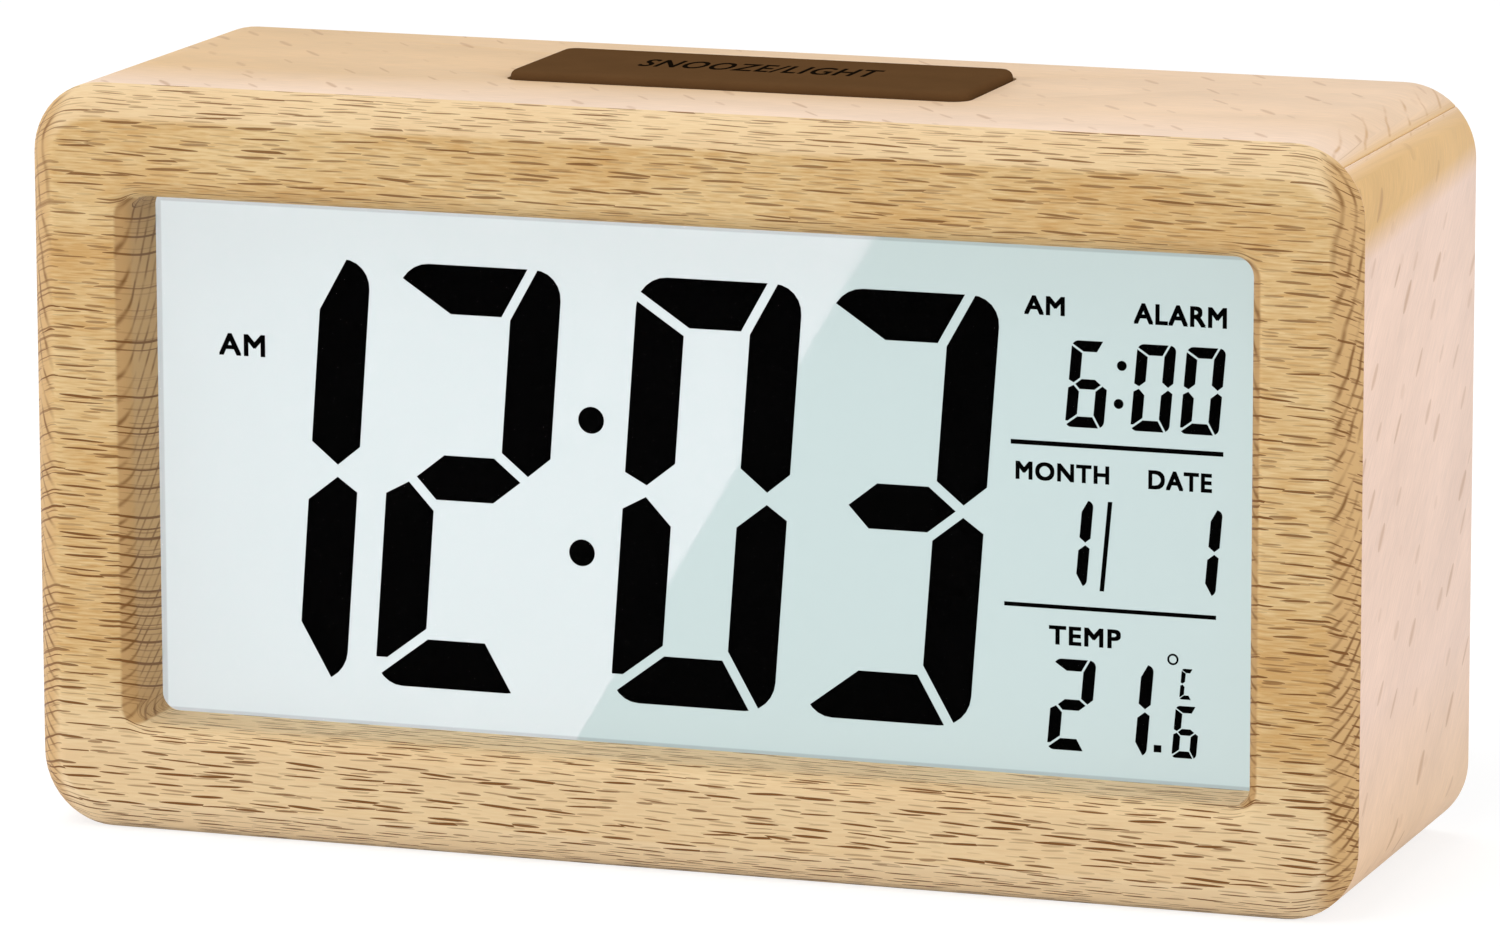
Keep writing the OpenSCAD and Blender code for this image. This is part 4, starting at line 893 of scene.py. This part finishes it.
frame_loops = [grown(WINDOW, 0, RECESS), grown(WINDOW, 0, WINDOW_ROUND - ARRIS_SINK)]
last_angle = math.asin((WINDOW_ROUND - ARRIS_SINK) / WINDOW_ROUND)
for step in range(1, ARC_STEPS + 1):
    angle = last_angle * step / ARC_STEPS
    frame_loops.append(grown(WINDOW, WINDOW_ROUND * (1 - math.cos(angle)),
                             max(WINDOW_ROUND * (1 - math.sin(angle)) - ARRIS_SINK, 0.0)))
frame_loops.append(grown(WINDOW, frame_loops[-1][0] - WINDOW[0] + SUPPORT, 0.0))
frame_loops += [grown(CASE, by, 0.0) for by in (-BEVEL_W - SUPPORT, -BEVEL_W)]
bevel = arc_between(Vector((-BEVEL_W, 0)), Vector((0, LIP)), BEVEL_R, ARC_STEPS)
frame_loops += [grown(CASE, point.x, point.y) for point in bevel if point.y < LIP - SEAM]
frame_loops += [grown(CASE, 0, LIP - SEAM), grown(CASE, -SEAM, LIP)]
frame_loops += [grown(TONGUE, 0, depth) for depth in (LIP, RECESS)]
frame_mesh = lofted("front_frame_wood", [loop_points(*loop) for loop in frame_loops])
front = finished_piece("front_frame_wood", frame_mesh, beech, "case", FRAME_SHARP)
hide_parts("front_frame")
front.visible_transmission = False    # the display mirrors the room in front, and not the frame's own inside
print(len(frame_loops), "loops")

# %% [markdown]
# The boards, the bar and the plastic pieces have the right shape already, but real edges are never
# perfectly sharp: sandpaper or the mould leaves them slightly round, and that catches the light. So each
# is copied, given a small bevel, and shown in place of its solid. Wood gets hardly any, plastic more,
# and the upper edge of the bar, where a finger presses, most of all.

# %% Soften the edges
BAR_CROWN = 0.8           # mm, how round the upper edge of the bar is
CROWN_STEPS = 5
SOFTENED = {              # solid: its body and the width of its bevel in mm
    "top_board": ("case", 0.12), "bottom_board": ("case", 0.12), "left_board": ("case", 0.12),
    "right_board": ("case", 0.12), "rear_cover": ("case", 0.12), "battery_door": ("door", 0.15),
    "set_button": ("set_key", 0.25), "alarm_button": ("alarm_key", 0.25), "up_button": ("up_key", 0.25),
    "down_button": ("down_key", 0.25), "alarm_switch_knob": ("alarm_slider", 0.12),
    "snooze_bar": ("snooze", 0.3)}
MERGE = 1e-6              # m, points closer than this are one
FLAT_ANGLE = math.radians(0.5)    # faces within this angle are one face
SOFT_ANGLE = math.radians(35)     # edges sharper than this are bevelled


def modified(maker):
    """The mesh that an object's modifiers give, as plain data, and the object put away."""
    mesh = bpy.data.meshes.new_from_object(maker.evaluated_get(bpy.context.evaluated_depsgraph_get()))
    bpy.data.objects.remove(maker)
    return mesh


def softened(node, width, crown):
    """A copy of a solid's mesh with its sharp edges bevelled, and the highest ones more than the rest."""
    shape = bmesh.new()
    shape.from_mesh(node.data)
    bmesh.ops.remove_doubles(shape, verts=shape.verts, dist=MERGE)
    bmesh.ops.dissolve_limit(shape, angle_limit=FLAT_ANGLE, verts=shape.verts, edges=shape.edges)
    highest = max(vertex.co.z for vertex in shape.verts)
    rim = [edge for edge in shape.edges if all(vertex.co.z > highest - MERGE for vertex in edge.verts)]
    if crown:
        bmesh.ops.bevel(shape, geom=rim, offset=crown * MM, segments=CROWN_STEPS, profile=0.5, affect="EDGES")
    mesh = bpy.data.meshes.new(node.name + "_soft")
    shape.to_mesh(mesh)
    shape.free()
    maker = bpy.data.objects.new(mesh.name, mesh)
    scene.collection.objects.link(maker)
    bevel = maker.modifiers.new("soften", "BEVEL")
    bevel.width = width * MM
    bevel.segments = 2
    bevel.limit_method = "ANGLE"
    bevel.angle_limit = SOFT_ANGLE
    return modified(maker)


soft = {}
for name, (body, width) in SOFTENED.items():
    slot = slot_of[name]
    mesh = softened(nodes[name], width, BAR_CROWN if name == "snooze_bar" else 0.0)
    piece_name = name + ("_wood" if slot == "beech_boards" else "_moulded")
    soft[name] = finished_piece(piece_name, mesh, finishes[slot], body)
    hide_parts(name)

# %% [markdown]
# The two functions of the bar are printed on its top in black. Text comes from Blender's own font: it is
# made a mesh, and only then is it fitted to the place it takes. Four copies, set off a little each way,
# make the strokes as fat as a printer's bold. The bar gives up the thickness of the ink, so that bar and
# words together keep its height.

# %% Words on the bar
BAR_WORDS = "SNOOZE/LIGHT"
BAR_WORDS_SIZE = (24.3, 4.6)              # mm
BAR_WORDS_AT = Vector((-0.3, 0.6, 0))     # mm right of and behind the middle of the bar
BAR_INK = 0.02            # mm of ink, and how far its copies are set off
BAR_BOLD = 0.06
LETTER_SPACE = 1.12
LETTER_STEPS = 4
LAYER = 0.12              # each copy is thinner by this share, so that no two faces lie in one plane
BOLD_WAYS = ((-1, -1), (-1, 1), (1, -1), (1, 1))
FACE_UP = Matrix.Identity(4)


def joined(name, meshes):
    """Several meshes as one, with the points on shared edges merged."""
    shape = bmesh.new()
    for mesh in meshes:
        shape.from_mesh(mesh)
        bpy.data.meshes.remove(mesh)
    bmesh.ops.remove_doubles(shape, verts=shape.verts, dist=MERGE)
    bmesh.ops.dissolve_degenerate(shape, edges=shape.edges, dist=MERGE)
    return closed_mesh(name, shape)


def word_mesh(text, middle, size, ink, facing, bold):
    """Bold letters as a closed mesh: fitted to a width and height in mm, ink thick, then placed."""
    curve = bpy.data.curves.new(text, "FONT")
    curve.body = text
    curve.extrude = 0.5
    curve.space_character = LETTER_SPACE
    curve.resolution_u = LETTER_STEPS
    maker = bpy.data.objects.new(text, curve)
    scene.collection.objects.link(maker)
    letters = modified(maker)
    bpy.data.curves.remove(curve)
    low, high = (Vector([pick(v.co[i] for v in letters.vertices) for i in range(3)]) for pick in (min, max))
    span = high - low
    fit = Matrix.Diagonal(((size[0] - 2 * bold) / span.x, (size[1] - 2 * bold) / span.y, ink, 1))
    letters.transform(fit @ Matrix.Translation(-(low + high) / 2))
    copies = []
    for layer, (side, rise) in enumerate(BOLD_WAYS):
        copies.append(letters.copy())
        thinner = 1 - layer * LAYER
        flat = Matrix.Diagonal((1, 1, thinner, 1))
        shift = Matrix.Translation((side * bold, rise * bold, ink * thinner / 2)) @ flat
        copies[-1].transform(Matrix.Diagonal((MM, MM, MM, 1)) @ Matrix.Translation(middle) @ facing @ shift)
    bpy.data.meshes.remove(letters)
    return joined(text, copies)


def middle_of(node):
    """The middle of a solid's box, in mm."""
    low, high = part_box(node)
    return (low + high) / 2 / MM


bar_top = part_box("snooze_bar")[1].z / MM - BAR_INK
for vertex in soft["snooze_bar"].data.vertices:
    if vertex.co.z > bar_top * MM:
        vertex.co.z -= BAR_INK * MM
words_at = middle_of("snooze_bar") + BAR_WORDS_AT
words_at.z = bar_top
# Dull black ink: it lies flat and takes no gloss, so the words stay readable in any light.
dull_ink = moulded_plastic("dull_black_ink", "#120C06", roughness=0.85, grain=0.2, shine=0.0)
bar_words = word_mesh(BAR_WORDS, words_at, BAR_WORDS_SIZE, BAR_INK, FACE_UP, BAR_BOLD)
finished_piece("snooze_words", bar_words, dull_ink, "snooze")

# %% [markdown]
# A liquid crystal figure is seven bars with narrow gaps. Each bar is what is left of one rounded outline
# after a few straight cuts, so one list of cuts draws every figure at any size. The cuts at the corners
# are mitres and leave half a gap, the others are the inner edges of the strokes. All figures lean.

# %% Cut an outline, and the cuts of each segment
# The numbers in the list of cuts are shares of the stroke.
LEVEL_STROKE = 0.955


def cut(outline, start, end, gap):
    """The part of a convex outline on the left of the line from start to end, less a gap."""
    way = (end - start).normalized()
    left = Vector((-way.y, way.x))
    heights = [(point - start).dot(left) - gap for point in outline]
    kept = []
    for i, point in enumerate(outline):
        j = (i + 1) % len(outline)
        if heights[i] >= 0:
            kept.append(point)
        if heights[i] * heights[j] < 0:
            kept.append(point.lerp(outline[j], heights[i] / (heights[i] - heights[j])))
    return kept


def segment_cuts(w, h, s):
    """For each segment, its mitre cuts and its stroke cuts, as pairs of points."""
    mid = h / 2
    top_left, top_left_out = (s, h - s), (0, h - 0.37 * s)
    top_right, top_right_out = (w - 1.1 * s, h - s), (w - 0.61 * s, h)
    low_right, low_right_out = (w - 1.02 * s, s), (w - 0.38 * s, 0)
    low_left, low_left_out = (s, 1.04 * s), (0, 0.25 * s)
    left, left_up, left_down = (0.47 * s, mid), (s, mid + 0.44 * s), (s, mid - 0.53 * s)
    right, right_up, right_down = (w - 0.43 * s, mid), (w - s, mid + 0.44 * s), (w - s, mid - 0.47 * s)
    left_out_up, left_out_down = (0, mid + 0.24 * s), (0, mid - 0.26 * s)
    right_out_up, right_out_down = (w, mid + 0.37 * s), (w, mid - 0.29 * s)
    level = LEVEL_STROKE * s
    inner_right, inner_left = ((w - s, h), (w - s, 0)), ((s, 0), (s, h))
    return {
        "a": ([(top_left_out, top_left), (top_right, top_right_out)], [((0, h - level), (w, h - level))]),
        "b": ([(top_right_out, top_right), (right_up, right), (right, right_out_up)], [inner_right]),
        "c": ([(right, right_down), (right_out_down, right), (low_right, low_right_out)], [inner_right]),
        "d": ([(low_right_out, low_right), (low_left, low_left_out)], [((w, level), (0, level))]),
        "e": ([(low_left_out, low_left), (left_down, left), (left, left_out_down)],
              [inner_left, ((0, 0.55 * s), (w, 0.55 * s))]),
        "f": ([(top_left, top_left_out), (left, left_up), (left_out_up, left)], [inner_left]),
        "g": ([(left_up, left), (left, left_down), (right_down, right), (right, right_up)],
              [((w, mid + 0.44 * s), (0, mid + 0.44 * s)), ((0, mid - 0.44 * s), (w, mid - 0.44 * s))])}


print(len(segment_cuts(1, 2, 1)), "segments")

# %% Draw a figure
OUTLINE_R = 0.59          # corner radius and gap of a mitre, as shares of the stroke
MITRE_GAP = 0.0945
OUTLINE_STEPS = 6
LIT = {"0": "abcdef", "1": "bc", "2": "abged", "3": "abgcd", "6": "acdefg", "C": "adef"}


def figure(sign, left, base, w, h, s, lean):
    """Outlines of the lit segments of one figure, in mm across and up the display."""
    outline = []
    r = OUTLINE_R * s
    for quarter, corner in enumerate(((w - r, h - r), (r, h - r), (r, r), (w - r, r))):
        angles = [(quarter + step / OUTLINE_STEPS) * math.pi / 2 for step in range(OUTLINE_STEPS + 1)]
        outline += [Vector(corner) + r * Vector((math.cos(a), math.sin(a))) for a in angles]
    shapes = []
    cuts = segment_cuts(w, h, s)
    for segment in LIT[sign]:
        points = outline
        for gap, lines in zip((MITRE_GAP * s, 0.0), cuts[segment]):
            for start, end in lines:
                points = cut(points, Vector(start), Vector(end), gap)
        shapes.append([Vector((left + p.x + lean * p.y, base + p.y)) for p in points])
    return shapes


print("signs:", *LIT)

# %% [markdown]
# The time fills most of the display, and a column on the right has the alarm, the date and the
# temperature, with rules between them. All of it is dark liquid crystal, so it is drawn as thin plates
# on the film. Places and sizes follow the photograph.

# %% Places and sizes on the display
FILM_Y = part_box("front_polariser")[0].y / MM
INK = 0.045               # mm, from the film towards the lens
TIME_LEAN = 0.0745        # mm to the right for each mm up
SIDE_LEAN = 0.085
BIG = (16.9, 42.3, 5.08, TIME_LEAN)     # width, height, stroke and lean
MEDIUM = (4.2, 8.95, 1.2, SIDE_LEAN)
SMALL = (3.85, 8.42, 1.1, SIDE_LEAN)
TENTHS = (2.45, 5.1, 0.7, SIDE_LEAN)
UNIT = (1.35, 3.0, 0.42, SIDE_LEAN)
TIME_FIGURES = (          # sign, left, base and size
    ("1", -54.74, 14.8, BIG), ("2", -34.79, 14.8, BIG), ("0", -10.09, 14.8, BIG), ("3", 9.86, 14.8, BIG))
TIME_DOTS = ((-11.87, 42.6, 1.33), (-12.9, 29.4, 1.33))     # middle and radius
SIDE_FIGURES = (
    ("6", 36.3, 44.9, SMALL), ("0", 42.8, 44.9, SMALL), ("0", 47.7, 44.9, SMALL),
    ("1", 34.66, 29.4, SMALL), ("1", 47.49, 29.3, SMALL),
    ("2", 34.62, 13.3, MEDIUM), ("1", 40.38, 13.25, MEDIUM),
    ("6", 47.1, 13.35, TENTHS), ("C", 47.85, 19.1, UNIT))
SIDE_DOTS = ((41.95, 51.1, 0.48), (41.65, 47.4, 0.48))
POINT = (45.35, 46.1, 13.75, 14.45)     # left, right, bottom and top
RULES = ((30.9, 52.05, 42.92, 43.37), (30.3, 51.45, 27.08, 27.48))
DATE_RULE = ((39.85, 29.1), (40.29, 29.1), (41.08, 37.85), (40.64, 37.85))
DEGREE = (47.2, 22.94)
DEGREE_R = (0.37, 0.56)
print(len(TIME_FIGURES), "large figures and", len(SIDE_FIGURES), "small ones")

# %% Figures on the display
DOT_STEPS = 24


def dot(x, z, radius):
    """Points of a circle, anticlockwise."""
    angles = [i * math.tau / DOT_STEPS for i in range(DOT_STEPS)]
    return [Vector((x, z)) + radius * Vector((math.cos(a), math.sin(a))) for a in angles]


def box_shape(x0, x1, z0, z1):
    """A level rectangle on the display."""
    return [Vector((x0, z0)), Vector((x1, z0)), Vector((x1, z1)), Vector((x0, z1))]


def plates(name, shapes, front_y, behind_y):
    """Flat outlines, seen from the front, as one mesh of thin plates between two depths in mm."""
    shape = bmesh.new()
    for points in shapes:
        front, behind = ([shape.verts.new((p.x * MM, y * MM, p.y * MM)) for p in points]
                         for y in (front_y, behind_y))
        shape.faces.new(front)
        shape.faces.new(behind[::-1])
        for i in range(len(points)):
            j = (i + 1) % len(points)
            shape.faces.new((front[j], front[i], behind[i], behind[j]))
    bmesh.ops.remove_doubles(shape, verts=shape.verts, dist=MERGE)
    return closed_mesh(name, shape)


# Turned liquid crystal: it swallows light between two crossed films, so it is black with no gloss.
crystal_black = moulded_plastic("turned_liquid_crystal", "#050505", roughness=0.9, grain=0.3, shine=0.0)
time_shapes, side_shapes = (
    [shape for sign, left, base, size in row for shape in figure(sign, left, base, *size)]
    for row in (TIME_FIGURES, SIDE_FIGURES))
time_shapes += [dot(*spot) for spot in TIME_DOTS]
side_shapes += [dot(*spot) for spot in SIDE_DOTS] + [box_shape(*POINT)]
rules = [box_shape(*rule) for rule in RULES] + [[Vector(corner) for corner in DATE_RULE]]
degree_loops = [[Vector((p.x, y, p.y)) * MM for p in dot(*DEGREE, DEGREE_R[i])]
                for i, y in ((0, FILM_Y - INK), (1, FILM_Y - INK), (1, FILM_Y), (0, FILM_Y))]
figures = {name: plates(name, shapes, FILM_Y - INK, FILM_Y) for name, shapes in (
    ("display_time", time_shapes), ("display_rules", rules), ("display_side_digits", side_shapes))}
figures["display_side_digits"] = joined(
    "display_side_digits", [figures["display_side_digits"], lofted("degree", degree_loops)])
for name, mesh in figures.items():
    finished_piece(name, mesh, crystal_black, "case")

# %% [markdown]
# The small words beside the figures are printed with the same black, so that the eye finds the month,
# the date and the temperature. They are text again, fitted to the width and height they have in the
# photograph.

# %% Words on the display
DISPLAY_WORDS = (         # word, left, right, bottom and top in mm
    ("AM", -50.9, -46.0, 46.85, 49.05), ("AM", 32.2, 36.25, 55.57, 57.42),
    ("ALARM", 43.1, 52.3, 55.25, 57.25), ("MONTH", 31.4, 40.75, 39.5, 41.3),
    ("DATE", 44.65, 50.95, 39.35, 41.2), ("TEMP", 34.8, 42.0, 23.6, 25.45))
WORD_BOLD = 0.075         # mm
FACE_FRONT = Matrix.Rotation(math.radians(90), 4, "X")
printed = []
for text, x0, x1, z0, z1 in DISPLAY_WORDS:
    middle = Vector(((x0 + x1) / 2, FILM_Y, (z0 + z1) / 2))
    printed.append(word_mesh(text, middle, (x1 - x0, z1 - z0), INK, FACE_FRONT, WORD_BOLD))
finished_piece("display_words", joined("display_words", printed), crystal_black, "case")

# %% [markdown]
# The photograph shows a bright slanted patch on the left of the display: the film mirrors something
# light that lies in front of the clock. Here that is a glowing card just above the floor, which only rays
# through the lens can see. Its slanted side is where the patch ends.

# %% Card that the display mirrors
CARD_LIFT = 1.0           # mm above the floor
CARD_GLOW = 5.1
CARD_COLOUR = paint("#FFE3ED")
CARD_CORNERS = ((-25.8, -40.0), (-330.0, -40.0), (-330.0, -440.0), (-118.1, -440.0))     # mm
card_paint, tree = new_material("glowing_card")
add(tree, "OUTPUT", add(tree, "EMISSION", CARD_COLOUR, CARD_GLOW))
card = flat_sheet("mirrored_card", [(x * MM, y * MM, CARD_LIFT * MM) for x, y in CARD_CORNERS], card_paint)
card.visible_camera = False
card.visible_diffuse = False
card.visible_glossy = False
card.visible_shadow = False
card.visible_volume_scatter = False
print("card glows at", CARD_GLOW)

# %% [markdown]
# On the back, every control says what it does. The words are printed on the cover in a pale ink, and the
# two keys that count up and down carry an arrow each, which moves with its key.

# %% Marks on the back
PRINT = 0.03              # mm of ink, and the height, fatness and width of the letters
PRINT_H = 1.5
PRINT_BOLD = 0.04
LETTER_W = 1.25
KEY_WORDS = {"SET": "set_button", "ALARM": "alarm_button", "UP": "up_button", "DOWN": "down_button"}
KEY_WORD_RISE = 4.7       # mm above the middle of a key, and above that of the alarm switch
SWITCH_WORD_RISE = 3.6
SWITCH_WORDS = (("OFF", -47.2, 3.2), ("ON", -42.3, 2.4))    # word, middle and width
ARROWS = {"up_key": ("up_button", 1), "down_key": ("down_button", -1)}
ARROW = ((-1.3, -0.9), (1.3, -0.9), (0, 1.3))
FACE_BACK = Matrix.Rotation(math.radians(180), 4, "Z") @ FACE_FRONT
# Screen ink: a thin matt coat, opaque and slightly warm.
screen_ink = moulded_plastic("pale_screen_ink", "#D8CDBB", roughness=0.7, grain=0.25, shine=0.2)
cover_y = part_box("rear_cover")[1].y / MM
knob = middle_of("alarm_switch_knob")
labels = []
for text, node in KEY_WORDS.items():
    key = middle_of(node)
    labels.append((text, key.x, key.z + KEY_WORD_RISE, LETTER_W * len(text)))
labels += [(text, x, knob.z + SWITCH_WORD_RISE, width) for text, x, width in SWITCH_WORDS]
printed = [word_mesh(text, Vector((x, cover_y, z)), (width, PRINT_H), PRINT, FACE_BACK, PRINT_BOLD)
           for text, x, z, width in labels]
finished_piece("rear_words", joined("rear_words", printed), screen_ink, "case")
for body, (node, way) in ARROWS.items():
    key = middle_of(node)
    key_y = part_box(node)[1].y / MM
    corners = [Vector((key.x + x, key.z + way * z)) for x, z in ARROW]
    arrow = plates(body + "_arrow", [corners], key_y + PRINT, key_y)
    finished_piece(body + "_arrow", arrow, screen_ink, body)

# %% [markdown]
# Each cell presses on a spring of thin wire, wound as a cone. A spring is a curve with a rule, so nodes
# make it: a spiral, swept with a small circle, and set on one point per cell. Every other spring faces
# the other way, as the cells do. Every tree in this lesson ends alike: the copies are brought to metres,
# made real and given their material, because an export drops what is still only a copy.

# %% Helpers for pieces made by nodes
COIL_STEPS = 24           # points on each turn
WIRE_SIDES = 10


def node_tree_for(name, values):
    """A geometry tree with named numbers as inputs, all in mm but for counts."""
    tree = bpy.data.node_groups.new(name, "GeometryNodeTree")
    tree.interface.new_socket("Geometry", in_out="OUTPUT", socket_type="NodeSocketGeometry")
    sockets = {key: tree.interface.new_socket(key, in_out="INPUT", socket_type="NodeSocketFloat").identifier
               for key in values}
    return tree, sockets, add(tree, "NodeGroupInput").outputs


def wound_wire(tree, given):
    """Round wire wound upwards, from the radius at its foot to the radius at its head."""
    spiral = add(tree, "GeometryNodeCurveSpiral", Resolution=COIL_STEPS, Rotations=given["Turns"],
                 Start_Radius=given["Foot"], End_Radius=given["Head"], Height=given["Reach"])
    thin = add(tree, "MULTIPLY", given["Wire"], 0.5)
    profile = add(tree, "GeometryNodeCurvePrimitiveCircle", Resolution=WIRE_SIDES, Radius=thin)
    return add(tree, "GeometryNodeCurveToMesh", Curve=spiral, Profile_Curve=profile, Fill_Caps=True)


def set_out(tree, shape, points, material, turned=(0, 0, 0)):
    """A shape on each point, brought to metres, made real and given its material."""
    copies = add(tree, "GeometryNodeInstanceOnPoints", Points=points, Instance=shape, Rotation=turned)
    small = add(tree, "GeometryNodeTransform", Geometry=copies, Scale=(MM, MM, MM))
    real = add(tree, "GeometryNodeRealizeInstances", Geometry=small)
    add(tree, "NodeGroupOutput", add(tree, "GeometryNodeSetMaterial", Geometry=real, Material=material))


def grown_piece(name, tree, sockets, values, body, slot):
    """The plain mesh that a geometry tree makes, as a finished piece."""
    maker = bpy.data.objects.new(name + "_maker", bpy.data.meshes.new(name + "_maker"))
    scene.collection.objects.link(maker)
    grow = maker.modifiers.new("grow", "NODES")
    grow.node_group = tree
    for key, value in values.items():
        grow[sockets[key]] = value
    return finished_piece(name, modified(maker), finishes[slot], body)


print("wire has", WIRE_SIDES, "sides and", COIL_STEPS, "points a turn")

# %% Contact springs
CELL_COUNT = 3
SPRING_INPUTS = {"Wire": 0.6, "Turns": 3.0, "Foot": 3.8, "Head": 1.9, "Reach": 4.0, "Pitch": CELL_PITCH}
low, high = (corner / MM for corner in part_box("contact_springs"))
tree, sockets, given = node_tree_for("cone_springs", SPRING_INPUTS)
row = add(tree, "GeometryNodeMeshLine", Count=CELL_COUNT, Offset=add(tree, "JOIN", Z=given["Pitch"]),
          Start_Location=(0, (low.y + high.y) / 2, CELL_FLOOR + CELL_PITCH / 2))
odd = add(tree, "MODULO", add(tree, "GeometryNodeInputIndex"), 2.0)
side = add(tree, "RANGE", odd, *WHOLE, -1.0, 1.0)
inset = add(tree, "MULTIPLY_ADD", given["Wire"], -0.5, high.x)
shift = add(tree, "JOIN", add(tree, "MULTIPLY", side, inset))
places = add(tree, "GeometryNodeSetPosition", Geometry=row, Offset=shift)
turned = add(tree, "JOIN", Y=add(tree, "MULTIPLY", side, -math.pi / 2))
set_out(tree, wound_wire(tree, given), places, finishes["spring_steel"], turned)
coils = grown_piece("contact_coils", tree, sockets, SPRING_INPUTS, "case", "spring_steel")
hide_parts("contact_springs")

# %% [markdown]
# Under the bar stand two coil springs that push it up again. They are the same wound wire, with one radius
# from foot to head.

# %% Springs under the bar
low, high = (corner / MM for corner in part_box("snooze_springs"))
BAR_WIRE = 0.5
BAR_COIL_R = 2.25
BAR_SPRING_INPUTS = {"Wire": BAR_WIRE, "Turns": 6.0, "Foot": BAR_COIL_R, "Head": BAR_COIL_R,
                     "Reach": high.z - low.z - BAR_WIRE, "Span": 30.0}
tree, sockets, given = node_tree_for("bar_springs", BAR_SPRING_INPUTS)
leftmost = add(tree, "MULTIPLY", given["Span"], -0.5)
first = add(tree, "JOIN", leftmost, (low.y + high.y) / 2, low.z + BAR_WIRE / 2)
step = add(tree, "JOIN", given["Span"])
pair = add(tree, "GeometryNodeMeshLine", Count=2, Start_Location=first, Offset=step)
set_out(tree, wound_wire(tree, given), pair, finishes["spring_steel"])
bar_coils = grown_piece("snooze_coils", tree, sockets, BAR_SPRING_INPUTS, "case", "spring_steel")
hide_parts("snooze_springs")
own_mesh(bar_coils)
print("springs", round(high.z - low.z, 2), "mm long")

# %% [markdown]
# A thumb needs something to push on, so the grip of the alarm switch has a row of ridges. They are the
# same ridge repeated, so nodes lay them out too: a short line, swept with a circle, on a row of points.

# %% Ridges on the alarm switch
RIDGE_INPUTS = {"Count": 4.0, "Spacing": 0.8, "Radius": 0.22, "Length": 2.2}
RIDGE_SIDES = 12
GRIP_X = -46.775          # mm, the middle of the grip
knob_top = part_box("alarm_switch_knob")[1].y / MM
tree, sockets, given = node_tree_for("grip_ridges", RIDGE_INPUTS)
lower, upper = (add(tree, "JOIN", Z=add(tree, "MULTIPLY", given["Length"], share)) for share in (-0.5, 0.5))
ridge_line = add(tree, "GeometryNodeCurvePrimitiveLine", Start=lower, End=upper)
ridge_round = add(tree, "GeometryNodeCurvePrimitiveCircle", Resolution=RIDGE_SIDES, Radius=given["Radius"])
ridge = add(tree, "GeometryNodeCurveToMesh", Curve=ridge_line, Profile_Curve=ridge_round, Fill_Caps=True)
span = add(tree, "MULTIPLY", add(tree, "SUBTRACT", given["Count"], 1.0), given["Spacing"])
first = add(tree, "JOIN", add(tree, "MULTIPLY_ADD", span, -0.5, GRIP_X), knob_top, knob.z)
row = add(tree, "GeometryNodeMeshLine", Count=given["Count"], Start_Location=first,
          Offset=add(tree, "JOIN", given["Spacing"]))
set_out(tree, ridge, row, finishes["button_plastic"])
grown_piece("alarm_switch_ridges", tree, sockets, RIDGE_INPUTS, "alarm_slider", "button_plastic")
